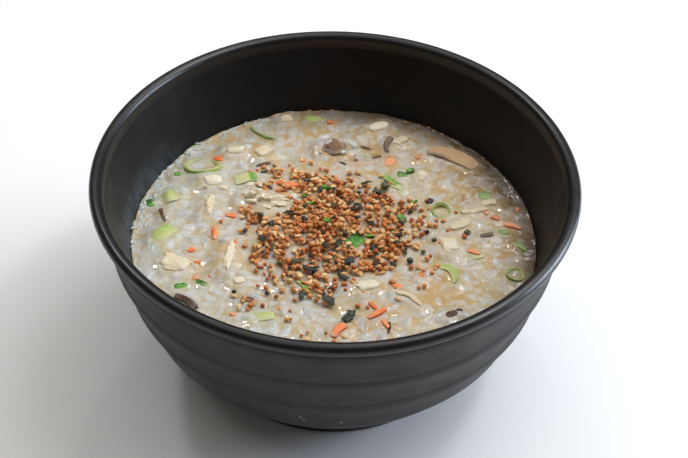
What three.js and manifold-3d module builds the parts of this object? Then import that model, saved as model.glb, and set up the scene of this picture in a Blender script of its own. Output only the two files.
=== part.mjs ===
// A dark bowl of rice porridge with shredded chicken, shiitake, carrot and spring onion, under a
// sprinkling of toasted granules, sesame seeds and seaweed flakes.
//
// Millimetres, +Z up. The origin is the centre of the foot's underside, and the diner sits at -Y.

import * as THREE from 'three';
import { mergeVertices } from 'three/addons/utils/BufferGeometryUtils.js';
import Module from 'manifold-3d';

const wasm = await Module();
wasm.setup();

// ---- Bowl ----

const BOWL_HEIGHT = 86;
const RIM_RADIUS = 90;
const LIP_RADIUS = 2.45; // of the lip's round section
const LIP_Z = BOWL_HEIGHT - LIP_RADIUS;
const LIP_FROM_DEG = -100; // the lip's arc, from under its outer side over the top to the inside
const LIP_TO_DEG = 188;
const LIP_STEPS = 6;
const LIP_GROOVE = { radius: 86.0, drop: 3.3 };

const FOOT_RADIUS = 52;
const FOOT_INNER_RADIUS = 45;
const FOOT_HEIGHT = 5;
const FOOT_RECESS = 3;
const FOOT_FLARE = 0.8; // the foot's outer side leans out by this much where it meets the body

// The outside is three bulging bands over a rounded underside. The joints between them are
// grooves, given by radius and by depth below the lip's middle, from the lowest up.
const BAND_JOINTS = [
  { radius: 72.4, drop: 56 },
  { radius: 79.2, drop: 37.5 },
  { radius: 83.9, drop: 20.8 },
  { radius: 86.6, drop: 4 },
];
const BAND_BULGE = 0.6;
const BAND_STEPS = 3;
const UNDERSIDE_PULL = { radius: 61.5, height: 11.5 };
const UNDERSIDE_STEPS = 3;

const WALL_TOP = { radius: 84.6, drop: 3 };
const LEVEL_DROP = 30.1; // the porridge's surface below the lip's middle
const LEVEL_RADIUS = 77;
const FLOOR_THICKNESS = 4.5;
const INNER_PULL = { wallRadius: 65.5, wallHeight: 11.9, floorRadius: 56 };
const INNER_STEPS = 5;

const AROUND = 52; // sides of the bowl and of the porridge
const MERGE_TOLERANCE = 1e-4; // corners closer than this are one

// ---- Porridge ----

const GAP = 0.3; // between neighbouring solids
const LEVEL_Z = LIP_Z - LEVEL_DROP;
const SURFACE_RADIUS = LEVEL_RADIUS - GAP;
// Rings of facets on the porridge's surface: radius as a share of the whole, and how many of the
// bowl's sides one facet spans.
const SURFACE_RINGS = [
  { share: 0.9, span: 1 },
  { share: 0.76, span: 2 },
  { share: 0.58, span: 2 },
  { share: 0.38, span: 4 },
  { share: 0.18, span: 4 },
  { share: 0, span: 4 },
];
const MOUND = { x: -2, y: 3, height: 2.2, spread: 22 };
const SWELLS = [
  { height: 0.5, length: 46, heading: 20, phase: 0.4 },
  { height: 0.4, length: 37, heading: 95, phase: 2.1 },
  { height: 0.3, length: 31, heading: 150, phase: 4.0 },
];

// ---- Pieces that stand out of the porridge ----
//
// Each lies at [x, y] with its long side turned from +X. A strip's size is length, width and
// height, a ring's is outer radius, wall and height. bend curls a strip in plan and arch curls
// it downwards at its ends, both in degrees over its length. lift raises its middle above the
// surface, roll and pitch tip it about its long and its short side.

const RING_SIDES = 10;
const STRIP_STEPS = 3; // facets along a strip, unless it says otherwise
const CROWN = 0.35; // share of its height that a wide strip loses along its edges
// A torn strip's unevenness: the product of two waves over its unit box, moved on by its seed and
// by a different shift for each direction.
const RAGGED_SINE = { along: 4.1, across: 1.7, seed: 2.3 };
const RAGGED_COSINE = { along: 2.6, across: 1, seed: -1.9 };
const RAGGED_SHIFT = { x: 5, y: 0, z: 9 };

const SCALLIONS = [
  { name: 'scallion_curl', at: [-31.5, 59.6], turn: -37, size: [12.6, 1.1, 3], bend: -60, lift: -0.5 },
  { name: 'scallion_ring_left', ring: true, at: [-53.2, 38.2], turn: 4, size: [5.2, 1.2, 3.2], oval: 1.42,
    roll: -10, lift: -0.3 },
  { name: 'scallion_piece', at: [-35.6, 30.2], turn: 14, size: [8.6, 5.8, 3.4], arch: 50, taper: 0.2,
    lift: 0.4 },
  { name: 'scallion_wedge', at: [-64.4, 19], turn: 32, size: [8.2, 6, 3], arch: 30, taper: 0.35,
    lift: 0.2 },
  { name: 'scallion_chunk', at: [-64.3, -2.6], turn: 61, size: [10.2, 6.6, 3], arch: 30, taper: 0.25,
    lift: 0.3 },
  { name: 'scallion_sliver', at: [-10, -29], turn: -58, size: [10, 1.8, 1.6], bend: 40, lift: 0.3 },
  { name: 'scallion_leaf', at: [7.9, -5.7], turn: 43, size: [7.6, 6.2, 1.1], arch: 70, lift: 0.9,
    roll: 12 },
  { name: 'scallion_strip', at: [22.4, 31.6], turn: -47, size: [10, 2.8, 1.6], arch: 30, lift: 0.3 },
  { name: 'scallion_ring_right', ring: true, at: [41, 14.6], turn: 20, size: [3.9, 1.1, 3.4], roll: 14,
    lift: 0.4 },
  { name: 'scallion_crescent', at: [44.4, -18.6], turn: -57, size: [12.6, 2.4, 3], bend: 130,
    lift: 0.2 },
  { name: 'scallion_ring_edge', ring: true, at: [67.4, -19.9], turn: 0, size: [3.4, 0.9, 2.6],
    pitch: 8, lift: 0 },
];

const CARROTS = [
  { name: 'carrot_left', at: [-45.2, -1.4], turn: -84, size: [7.4, 2.2, 2], bend: 16, lift: 0.4 },
  { name: 'carrot_front', at: [16.3, -41.9], turn: 39, size: [8.6, 2.3, 1.8], bend: -20, lift: 0.4 },
  { name: 'carrot_near', at: [2, -50.2], turn: 55, size: [8, 3.2, 2.2], bend: 55, taper: 0.3,
    lift: 0.5 },
  { name: 'carrot_right', at: [67, 8.4], turn: -19, size: [10, 2.2, 1.6], bend: 14, lift: 0 },
  { name: 'carrot_back', at: [-17.3, 27.3], turn: 3, size: [7.6, 2.8, 1.6], bend: 10, lift: 0.4 },
];

const CHICKENS = [
  { name: 'chicken_large', at: [-26.8, 16], turn: -22, size: [19, 9, 5], steps: 5, across: 2,
    ragged: 0.9, taper: 0.2, lift: 0.9, seed: 1 },
  { name: 'chicken_shred_left', at: [-48.6, 14.2], turn: -92, size: [13.6, 4.4, 3], steps: 5,
    ragged: 0.5, taper: 0.45, lift: 0.7, seed: 2 },
  { name: 'chicken_crumbly', at: [-38.6, -14.6], turn: -96, size: [15, 4.8, 3], steps: 5, ragged: 0.7,
    taper: 0.2, lift: 0.5, seed: 3 },
  { name: 'chicken_soft_left', at: [-58.6, -17], turn: -25, size: [10.6, 8.6, 3.4], across: 2,
    ragged: 0.6, taper: 0.3, lift: 0.2, seed: 4 },
  { name: 'chicken_by_ring', at: [-48.4, 28.6], turn: 18, size: [6.9, 5.6, 3], ragged: 0.3,
    taper: 0.3, lift: 0.6, seed: 5 },
  { name: 'chicken_back_left', at: [-41, 48.6], turn: 2, size: [6.8, 4.8, 3], ragged: 0.3, taper: 0.2,
    lift: 0.6, seed: 6 },
  { name: 'chicken_back', at: [-29.8, 48], turn: 30, size: [7, 6.4, 3.2], ragged: 0.4, taper: 0.3,
    lift: 0.6, seed: 7 },
  { name: 'chicken_cube', at: [12.7, -28.7], turn: 17, size: [7.6, 4.8, 3], ragged: 0.2, lift: 0.7,
    seed: 8 },
  { name: 'chicken_curl', at: [28, -33.4], turn: -36, size: [12.4, 2.2, 2.6], bend: 60, lift: 0.5,
    seed: 9 },
  { name: 'chicken_block', at: [43.6, -5.2], turn: 4, size: [7.4, 8.2, 3.2], ragged: 0.3, lift: 0.3,
    seed: 10 },
  { name: 'chicken_flake', at: [48.4, 6.4], turn: 31, size: [8.6, 4.2, 2.6], ragged: 0.4, taper: 0.3,
    lift: 0.4, seed: 11 },
  { name: 'chicken_shred_right', at: [54, 15.2], turn: 18, size: [11, 2.8, 2.4], ragged: 0.3,
    taper: 0.4, lift: 0.4, seed: 12 },
  { name: 'chicken_far', at: [17.4, 65.6], turn: 28, size: [8.4, 5.4, 3], ragged: 0.4, taper: 0.3,
    lift: 0.6, seed: 13 },
];

const SHIITAKES = [
  { name: 'shiitake_slice', at: [47.4, 48.6], turn: -28, size: [22.4, 7.6, 3], steps: 7, across: 2,
    bend: 45, taper: 0.35, lift: 0 },
  { name: 'shiitake_curl', at: [20.3, 54.8], turn: -100, size: [10, 2.1, 2.2], bend: -60, lift: 0.7 },
  { name: 'shiitake_rim', at: [-52.8, -37.4], turn: -37, size: [10.6, 2.4, 2], bend: 50, lift: 0.5 },
  { name: 'shiitake_chunk', at: [-1.2, 50], turn: -14, size: [9.6, 8, 3.6], steps: 4, across: 2,
    ragged: 0.5, taper: 0.3, lift: 0.6, seed: 14 },
];

// ---- Pieces fused to the porridge's surface ----

// Scraps too small to stand as pieces of their own: place, turn, length, width and height.
const SCRAPS = [
  { at: [-71.4, 15.4], turn: 2, size: [5.2, 3.9, 1.6], lift: 0.8 },
  { at: [-55.6, -29.2], turn: 26, size: [5.2, 2.4, 1.8], lift: 0.5 },
  { at: [-48.2, -27.4], turn: -30, size: [5.4, 1.8, 1.8], lift: 0.5 },
  { at: [25.6, 8.4], turn: -56, size: [6, 3.2, 1.4], lift: 0.6 },
  { at: [24, 1.8], turn: -10, size: [4.6, 4.4, 1.4], lift: 0.4 },
  { at: [58.6, 24.4], turn: 2, size: [4.4, 4.4, 2], lift: 0.5 },
  { at: [71, -4.2], turn: -52, size: [5.8, 2.4, 1.4], lift: 0.4 },
  { at: [64, 3.2], turn: 4, size: [4.8, 1.8, 1.4], lift: 0.3 },
  { at: [32.9, -20.6], turn: 61, size: [6.4, 1.7, 1.6], lift: 0.4 },
  { at: [21.6, 44.6], turn: 40, size: [4.6, 3.8, 2], lift: 0.5 },
  { at: [-47.4, 43.4], turn: 15, size: [3.8, 3, 1.8], lift: 0.5 },
  { at: [-53.6, -10.6], turn: 40, size: [3, 2.6, 1.8], lift: 0.5 },
  { at: [23.4, -27.6], turn: -28, size: [4.4, 2.6, 1.4], lift: 0.4 },
  { at: [-66.2, 9], turn: -70, size: [7, 1.4, 1.6], lift: 0.4 },
  { at: [-29.3, 40.2], turn: 23, size: [7, 1.7, 1.8], lift: 0.6 },
  { at: [58.6, 1.2], turn: 16, size: [6.6, 2.4, 1.6], lift: 0.3 },
  { at: [-30.2, -36.6], turn: -4, size: [6, 2.4, 1.6], lift: 0.5 },
  { at: [34.4, 36], turn: 60, size: [3.8, 3.6, 2.4], lift: 0.6 },
  { at: [34, 33.4], turn: 80, size: [3, 2.4, 1.4], lift: 0.4 },
];

const GRAIN_STACKS = 3; // of facets from a fused grain's top to its underside
const RICE = { count: 76, sides: 6, length: 8.4, width: 3.5, height: 3.2, lift: 0.25, tilt: 9, field: 72 };
const RICE_SIZES = [0.8, 1.12]; // smallest and largest grain, times the size above
const GRANULE = { count: 54, sides: 5, length: 2.1, width: 2.1, height: 2.1, lift: 0.35, tilt: 0 };
const SESAME = { count: 40, sides: 5, length: 3.4, width: 2.1, height: 1.5, lift: 0.35, tilt: 15 };
const FLAKE = { count: 14, length: 4, width: 2.8, height: 0.9, lift: 0.25, tilt: 14 };
const SPRINKLE_FIELD = { x: 3, y: -1, reach: 44, crowding: 0.72 };
const CLEARANCE = 0.35; // left round a fused piece, beside a piece with a pocket
const DRAWS = 4000; // places tried for each kind of scattered piece
const SEED = 29;

const COLORS = {
  bowl: { color: 0x1c1d1f, roughness: 0.45 },
  congee: { color: 0xd9d2c2, roughness: 0.35 },
  scallion: { color: 0x9cbf4e, roughness: 0.4 },
  carrot: { color: 0xe8793a, roughness: 0.4 },
  chicken: { color: 0xe0d2b0, roughness: 0.55 },
  shiitake: { color: 0x4f3427, roughness: 0.5 },
};

// ---- Helpers ----

const radians = THREE.MathUtils.degToRad;
const point2 = (radius, z) => new THREE.Vector2(radius, z);

// The mulberry32 generator: the same numbers from 0 to 1 for the same seed.
function seededRandom(seed) {
  let state = seed;
  return () => {
    state = (state + 0x6d2b79f5) | 0;
    let mixed = Math.imul(state ^ (state >>> 15), 1 | state);
    mixed = (mixed + Math.imul(mixed ^ (mixed >>> 7), 61 | mixed)) ^ mixed;
    return ((mixed ^ (mixed >>> 14)) >>> 0) / 2 ** 32;
  };
}

// A closed geometry as a solid: shared corners merged, collapsed triangles dropped.
function solid(geometry) {
  const bare = geometry.clone();
  bare.deleteAttribute('normal');
  bare.deleteAttribute('uv');
  const merged = mergeVertices(bare, MERGE_TOLERANCE);
  const corners = merged.index.array;
  const kept = [];
  for (let i = 0; i < corners.length; i += 3) {
    const [a, b, c] = corners.slice(i, i + 3);
    if (a !== b && b !== c && c !== a) kept.push(a, b, c);
  }
  return new wasm.Manifold(new wasm.Mesh({
    numProp: 3,
    vertProperties: new Float32Array(merged.getAttribute('position').array),
    triVerts: new Uint32Array(kept),
  }));
}

function surfaceOf(body) {
  const mesh = body.getMesh();
  const geometry = new THREE.BufferGeometry();
  geometry.setAttribute('position', new THREE.BufferAttribute(mesh.vertProperties, 3));
  geometry.setIndex(new THREE.BufferAttribute(mesh.triVerts, 1));
  geometry.computeVertexNormals();
  return geometry;
}

function namedMesh(name, geometry, kind) {
  const mesh = new THREE.Mesh(geometry, new THREE.MeshStandardMaterial({ metalness: 0, ...COLORS[kind] }));
  mesh.name = name;
  return mesh;
}

// ---- Bowl ----

// The hollow's side below the porridge's surface, from the floor's centre up.
function innerCurve(steps) {
  const floorZ = FOOT_RECESS + FLOOR_THICKNESS;
  return new THREE.CubicBezierCurve(
    point2(0, floorZ),
    point2(INNER_PULL.floorRadius, floorZ),
    point2(INNER_PULL.wallRadius, INNER_PULL.wallHeight),
    point2(LEVEL_RADIUS, LEVEL_Z),
  ).getPoints(steps);
}

function bandPoints(lower, upper) {
  const points = [];
  for (let i = 0; i < BAND_STEPS; i += 1) {
    const share = i / BAND_STEPS;
    const bulge = BAND_BULGE * 4 * share * (1 - share);
    const radius = THREE.MathUtils.lerp(lower.radius, upper.radius, share) + bulge;
    const drop = THREE.MathUtils.lerp(lower.drop, upper.drop, share);
    points.push(point2(radius, LIP_Z - drop));
  }
  return points;
}

function footPoints() {
  return [
    point2(0, FOOT_RECESS),
    point2(FOOT_INNER_RADIUS, FOOT_RECESS),
    point2(FOOT_INNER_RADIUS, 0),
    point2(FOOT_RADIUS, 0),
  ];
}

function undersidePoints() {
  const top = BAND_JOINTS[0];
  const curve = new THREE.QuadraticBezierCurve(
    point2(FOOT_RADIUS + FOOT_FLARE, FOOT_HEIGHT),
    point2(UNDERSIDE_PULL.radius, UNDERSIDE_PULL.height),
    point2(top.radius, LIP_Z - top.drop),
  );
  return curve.getPoints(UNDERSIDE_STEPS).slice(0, -1);
}

function lipPoints() {
  const points = [];
  for (let i = 0; i <= LIP_STEPS; i += 1) {
    const angle = radians(THREE.MathUtils.lerp(LIP_FROM_DEG, LIP_TO_DEG, i / LIP_STEPS));
    const radius = RIM_RADIUS - LIP_RADIUS + LIP_RADIUS * Math.cos(angle);
    points.push(point2(radius, LIP_Z + LIP_RADIUS * Math.sin(angle)));
  }
  return points;
}

function bowlGeometry() {
  const bands = BAND_JOINTS.slice(1).flatMap((joint, i) => bandPoints(BAND_JOINTS[i], joint));
  const lastJoint = BAND_JOINTS[BAND_JOINTS.length - 1];
  const profile = [
    ...footPoints(),
    ...undersidePoints(),
    ...bands,
    point2(lastJoint.radius, LIP_Z - lastJoint.drop),
    point2(LIP_GROOVE.radius, LIP_Z - LIP_GROOVE.drop),
    ...lipPoints(),
    point2(WALL_TOP.radius, LIP_Z - WALL_TOP.drop),
    ...innerCurve(INNER_STEPS).reverse(),
  ];
  return new THREE.LatheGeometry(profile, AROUND).rotateX(Math.PI / 2);
}

// ---- Porridge ----

// Height of the porridge's surface: a low mound under the sprinkle and long swells, which all
// die away at the bowl's wall.
function surfaceZ(x, y) {
  const reach = Math.min(1, Math.hypot(x, y) / SURFACE_RADIUS);
  const away = ((x - MOUND.x) ** 2 + (y - MOUND.y) ** 2) / (2 * MOUND.spread ** 2);
  let relief = MOUND.height * Math.exp(-away);
  for (const swell of SWELLS) {
    const heading = radians(swell.heading);
    const along = x * Math.cos(heading) + y * Math.sin(heading);
    relief += swell.height * Math.sin((2 * Math.PI * along) / swell.length + swell.phase);
  }
  return LEVEL_Z + relief * (1 - reach ** 4);
}

function porridgeCore() {
  const side = innerCurve(INNER_STEPS).map((p) => point2(Math.max(0, p.x - GAP), p.y + GAP));
  side[side.length - 1].y = LEVEL_Z;
  const rings = SURFACE_RINGS.map((ring) => point2(ring.share * SURFACE_RADIUS, LEVEL_Z));
  const profile = [...side, ...rings];
  const geometry = new THREE.LatheGeometry(profile, AROUND).rotateX(Math.PI / 2);
  const position = geometry.getAttribute('position');
  for (let i = 0; i < position.count; i += 1) {
    const ring = SURFACE_RINGS[(i % profile.length) - side.length];
    if (ring) {
      const spoke = Math.floor(i / profile.length);
      const joined = i - (spoke % ring.span) * profile.length;
      const x = position.getX(joined);
      const y = position.getY(joined);
      position.setXYZ(i, x, y, surfaceZ(x, y));
    }
  }
  return geometry;
}

const core = new THREE.Mesh(porridgeCore());

// ---- Strips and rings ----

// Bends a point of a straight strip round an arc: angle is the turn over the strip's length,
// and the ends go towards minus the given axis.
function bendPoint(point, axis, angle, length) {
  if (angle === 0) return;
  const radius = length / radians(angle);
  const turned = point.x / radius;
  const offset = radius + point[axis];
  point.x = offset * Math.sin(turned);
  point[axis] = offset * Math.cos(turned) - radius;
}

function wave({ along, across, seed }, x, y, shift) {
  return along * x + across * y + seed * shift;
}

function raggedness(x, y, shift) {
  return Math.sin(wave(RAGGED_SINE, x, y, shift)) * Math.cos(wave(RAGGED_COSINE, x, y, shift));
}

function stripGeometry(piece, grow = 0) {
  const [length, width, height] = piece.size;
  const { bend = 0, arch = 0, taper = 0, ragged = 0, steps = STRIP_STEPS, across = 1, seed = 0 } = piece;
  const geometry = new THREE.BoxGeometry(2, 2, 2, steps, across, 1);
  const position = geometry.getAttribute('position');
  const point = new THREE.Vector3();
  for (let i = 0; i < position.count; i += 1) {
    point.fromBufferAttribute(position, i);
    const { x: along, y: side, z: up } = point;
    const narrow = 1 - taper * along * along;
    const crown = 1 - (across > 1 ? CROWN * side * side : 0);
    const uneven = {
      x: raggedness(side, up, seed + RAGGED_SHIFT.x),
      y: raggedness(along, side, seed + RAGGED_SHIFT.y),
      z: raggedness(along, 2 * side, seed + RAGGED_SHIFT.z),
    };
    point.x = along * (length / 2 + grow) + ragged * uneven.x;
    point.y = side * ((width / 2) * narrow + grow) + ragged * uneven.y;
    point.z = up * ((height / 2) * narrow * crown + grow) + ragged * uneven.z;
    bendPoint(point, 'y', bend, length);
    bendPoint(point, 'z', arch, length);
    position.setXYZ(i, point.x, point.y, point.z);
  }
  return geometry;
}

function ringGeometry(piece, grow = 0) {
  const [radius, wall, height] = piece.size;
  const inner = radius - wall - grow;
  const outer = radius + grow;
  const half = height / 2 + grow;
  const profile = [
    point2(inner, -half),
    point2(outer, -half),
    point2(outer, half),
    point2(inner, half),
    point2(inner, -half),
  ];
  const { oval = 1 } = piece;
  return new THREE.LatheGeometry(profile, RING_SIDES).rotateX(Math.PI / 2).scale(oval, 1, 1);
}

function pieceGeometry(piece, grow) {
  return piece.ring ? ringGeometry(piece, grow) : stripGeometry(piece, grow);
}

// Height of the porridge core's facets at a place.
function facetZ(x, y) {
  const above = new THREE.Vector3(x, y, BOWL_HEIGHT);
  const down = new THREE.Vector3(0, 0, -1);
  return new THREE.Raycaster(above, down).intersectObject(core)[0].point.z;
}

function placePiece(object, piece) {
  const [x, y] = piece.at;
  object.position.set(x, y, facetZ(x, y) + piece.lift);
  object.rotation.set(radians(piece.roll ?? 0), radians(piece.pitch ?? 0), radians(piece.turn), 'ZYX');
  object.updateMatrix();
}

// ---- Where pieces lie ----

// The discs that cover a strip or a ring in plan.
function footprint(piece) {
  const [length, width] = piece.size;
  const turn = radians(piece.turn);
  const half = piece.ring ? (piece.oval ?? 1) * length : length / 2;
  const radius = piece.ring ? length : width / 2 + (piece.ragged ?? 0);
  const reach = Math.max(0, piece.ring ? half - radius : half - radius / 2);
  const count = Math.max(2, Math.ceil(reach / radius) * 2 + 1);
  const discs = [];
  for (let i = 0; i < count; i += 1) {
    const point = new THREE.Vector3(reach * ((2 * i) / (count - 1) - 1), 0, 0);
    if (!piece.ring) bendPoint(point, 'y', piece.bend ?? 0, length);
    discs.push({
      x: piece.at[0] + point.x * Math.cos(turn) - point.y * Math.sin(turn),
      y: piece.at[1] + point.x * Math.sin(turn) + point.y * Math.cos(turn),
      radius,
    });
  }
  return discs;
}

function areClear(discs, others) {
  return discs.every((disc) => others.every((other) => {
    const apart = Math.hypot(disc.x - other.x, disc.y - other.y);
    return apart > disc.radius + other.radius + CLEARANCE;
  }));
}

// Draws places for a kind of piece and keeps those that are clear of everything before them.
function scatter(count, taken, draw) {
  const placed = [];
  for (let i = 0; i < DRAWS && placed.length < count; i += 1) {
    const piece = draw();
    const discs = footprint(piece);
    if (areClear(discs, taken)) {
      taken.push(...discs);
      placed.push(piece);
    }
  }
  return placed;
}

function evenPlace(random) {
  const radius = RICE.field * Math.sqrt(random());
  const angle = 2 * Math.PI * random();
  return [radius * Math.cos(angle), radius * Math.sin(angle)];
}

// Thick in the middle of the sprinkle and thinning outwards.
function sprinklePlace(random) {
  const radius = SPRINKLE_FIELD.reach * random() ** SPRINKLE_FIELD.crowding;
  const angle = 2 * Math.PI * random();
  return [SPRINKLE_FIELD.x + radius * Math.cos(angle), SPRINKLE_FIELD.y + radius * Math.sin(angle)];
}

function drawSeed(kind, at, random, scale = 1) {
  return {
    at,
    turn: 360 * random(),
    pitch: kind.tilt * (2 * random() - 1),
    size: [kind.length * scale, kind.width * scale, kind.height * scale],
    sides: kind.sides,
    lift: kind.lift,
  };
}

// ---- Fused pieces ----

function grainGeometry(piece) {
  const [length, width, height] = piece.size;
  const ball = new THREE.SphereGeometry(1, piece.sides, GRAIN_STACKS).rotateX(Math.PI / 2);
  return ball.scale(length / 2, width / 2, height / 2);
}

function placedGeometry(geometry, piece) {
  const holder = new THREE.Object3D();
  placePiece(holder, piece);
  return geometry.applyMatrix4(holder.matrix);
}

function scatteredGeometries(standingPieces) {
  const random = seededRandom(SEED);
  const taken = [...standingPieces, ...SCRAPS].flatMap(footprint);
  const between = (low, high) => low + (high - low) * random();
  const flakes = scatter(FLAKE.count, taken, () => drawSeed(FLAKE, sprinklePlace(random), random));
  const rice = scatter(RICE.count, taken, () => {
    return drawSeed(RICE, evenPlace(random), random, between(...RICE_SIZES));
  });
  const sesame = scatter(SESAME.count, taken, () => drawSeed(SESAME, sprinklePlace(random), random));
  const granules = scatter(GRANULE.count, taken, () => drawSeed(GRANULE, sprinklePlace(random), random));
  return [
    ...[...rice, ...sesame, ...granules].map((piece) => placedGeometry(grainGeometry(piece), piece)),
    ...flakes.map((piece) => placedGeometry(stripGeometry({ ...piece, steps: 1 }), piece)),
    ...SCRAPS.map((piece) => placedGeometry(stripGeometry({ ...piece, steps: 1 }), piece)),
  ];
}

function congeeGeometry(standingPieces) {
  let body = solid(core.geometry);
  for (const geometry of scatteredGeometries(standingPieces)) body = body.add(solid(geometry));
  for (const piece of standingPieces) {
    body = body.subtract(solid(placedGeometry(pieceGeometry(piece, GAP), piece)));
  }
  return surfaceOf(body);
}

// ---- The whole ----

function standingMesh(piece, kind) {
  const mesh = namedMesh(piece.name, pieceGeometry(piece, 0), kind);
  placePiece(mesh, piece);
  return mesh;
}

const group = new THREE.Group();
const standing = [...SCALLIONS, ...CARROTS, ...CHICKENS, ...SHIITAKES];
group.add(namedMesh('bowl', bowlGeometry(), 'bowl'));
group.add(namedMesh('congee', congeeGeometry(standing), 'congee'));
group.add(...SCALLIONS.map((piece) => standingMesh(piece, 'scallion')));
group.add(...CARROTS.map((piece) => standingMesh(piece, 'carrot')));
group.add(...CHICKENS.map((piece) => standingMesh(piece, 'chicken')));
group.add(...SHIITAKES.map((piece) => standingMesh(piece, 'shiitake')));

export default group;
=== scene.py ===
"""Looks of a dark bowl of rice porridge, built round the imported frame.

Shapes are worked out in millimetres in the frame's own axes and become metres in mesh_object.
The diner sits at -Y. The materials' colours are written as their usual 0 to 255 values, and those of
the lamps and the world are linear.
"""

import math

import bpy
import numpy as np
from mathutils import Euler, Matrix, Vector
from mathutils.kdtree import KDTree


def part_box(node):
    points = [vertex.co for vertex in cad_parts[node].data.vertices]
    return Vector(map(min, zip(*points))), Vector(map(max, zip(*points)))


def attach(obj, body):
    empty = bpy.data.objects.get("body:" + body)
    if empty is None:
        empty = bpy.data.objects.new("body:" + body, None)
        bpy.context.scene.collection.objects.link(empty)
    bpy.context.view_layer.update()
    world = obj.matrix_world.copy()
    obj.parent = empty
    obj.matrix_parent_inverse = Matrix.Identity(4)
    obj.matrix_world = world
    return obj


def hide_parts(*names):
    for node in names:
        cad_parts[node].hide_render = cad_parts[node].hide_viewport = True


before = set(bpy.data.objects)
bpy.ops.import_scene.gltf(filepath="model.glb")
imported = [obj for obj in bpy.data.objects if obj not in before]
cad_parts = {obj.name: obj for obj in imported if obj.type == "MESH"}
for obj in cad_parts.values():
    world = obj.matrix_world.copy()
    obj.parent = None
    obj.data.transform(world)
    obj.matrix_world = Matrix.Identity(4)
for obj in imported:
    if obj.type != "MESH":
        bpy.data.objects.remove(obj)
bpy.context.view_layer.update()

MM = 0.001
SEED = 41
ANY_TURN = (0, 360)

# ---- Camera and light ----

IMAGE_WIDTH_PX = 688
FOCAL_LENGTH_PX = 1543
SENSOR_WIDTH = 36
CAMERA_PLACE = (0, -432.66, 450.93)
CAMERA_TURN_DEG = (47.6725, -1.3039, 0.7087)
CLIP = (0.01, 20)
# Each lamp's place, the height it aims at over the bowl's middle, width in metres, watts and tint.
LIGHTS = {
    "key": ((500, 240, 840), 60, 0.9, 4.9, (0.97, 0.985, 1)),
    "overhead": ((-150, 200, 1200), 50, 1.6, 6.2, (1, 0.985, 0.95)),
    "window_right": ((900, 130, 250), 70, 0.5, 8.6, (0.74, 0.84, 1)),
    "sparkle_left": ((-400, 420, 720), 50, 0.12, 1.1, (0.97, 0.985, 1)),
    "sparkle_right": ((380, 120, 780), 50, 0.12, 1.1, (0.97, 0.985, 1)),
    "sparkle_back": ((-40, 620, 780), 50, 0.05, 0.3, (1, 0.97, 0.93)),
}
WORLD_COLOR = (1, 0.96, 0.88, 1)
WORLD_STRENGTH = 0.11
FLOOR_HALF = 3  # metres
FLOOR_DROP = 0.2  # below the foot
FLOOR_COLORS = (247, 247, 247), (243.5, 243.5, 243.5)

# ---- Bowl ----

BOWL_HEIGHT = 86
RIM_RADIUS = 90
LIP_RADIUS = 2.45
LIP_Z = BOWL_HEIGHT - LIP_RADIUS
LIP_ARC_DEG = (-100, 188)
LIP_STEPS = 26
LIP_GROOVE = (86.0, LIP_Z - 3.3)
FOOT_RADIUS = 52
FOOT_INNER_RADIUS = 45
FOOT_HEIGHT = 5
FOOT_RECESS = 3
FOOT_FLARE = 0.8
FOOT_ROUND = 0.7
RECESS_ROWS = (20, 38)  # radii of two more rows across the recess
BAND_JOINTS = [(72.4, 56), (79.2, 37.5), (83.9, 20.8), (86.6, 4)]  # radius, drop below the lip
BAND_BULGE = 0.85
BAND_SKEW = 3.2  # over 1 lifts the fullest part of a band above its middle
BAND_STEPS = 16
UNDERSIDE_PULL = (61.5, 11.5)
UNDERSIDE_STEPS = 16
WALL_TOP = (84.6, LIP_Z - 3)
WALL_STEPS = 12
LEVEL_RADIUS = 77
LEVEL_Z = LIP_Z - 30.1
FLOOR_Z = 7.5
INNER_PULLS = [(56, FLOOR_Z), (65.5, 11.9)]
INNER_STEPS = 14
LATHE_SIDES = 224
LATHE_WAVES = (2, 3, 5)  # of unevenness round the bowl
LATHE_WAVE = 0.07
MATTE, GLOSSY, SATIN = range(3)
CHIPS = [(4.2, -73.5, 30.9), (-10.3, -74.2, 34.5), (-9.3, -73.4, 32.0), (24.6, -74.1, 43.1)]
CHIP_REACH = 1.1

# ---- Porridge ----

GAP = 0.3
SURFACE_RADIUS = LEVEL_RADIUS - GAP
MOUND = {"x": -2, "y": 3, "height": 2.2, "spread": 22}
SWELLS = [(0.5, 46, 20, 0.4), (0.4, 37, 95, 2.1), (0.3, 31, 150, 4.0)]  # height, length, heading, phase
SURFACE_CELLS = 290
SKIN_DEPTH = 0.3  # of the gel between the grains, below the level above
SOFTENING = 4  # passes that blur the relief of the grains
RIPPLES = (9, 0.08)  # length and height
MENISCUS = {"height": 0.8, "width": 1.1, "ragged": (7, 0.22)}
TINTS = {  # the colours that sunk parts of the toppings lend the gel round them
    "green": (168, 178, 118),
    "orange": (204, 146, 100),
    "meat": (202, 184, 154),
    "brown": (134, 108, 92),
}
TINT_REACH = 1.6
TINT_SHARE = 0.22
HEAP_STAIN = {"reach": 30, "share": 0.16}
CLEAR_FIELDS = [  # where gel shows between fewer grains: x, y, reach and how clear it is
    (-33, -8, 17, 0.55), (-8, 6, 32, 0.5), (34, -24, 22, 0.45), (66, 38, 26, 0.55), (74, -4, 18, 0.45),
    (14, -52, 15, 0.55), (-12, -56, 14, 0.4), (-36, 52, 14, 0.5), (8, 46, 26, 0.45), (-14, 64, 12, 0.35),
]
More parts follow.
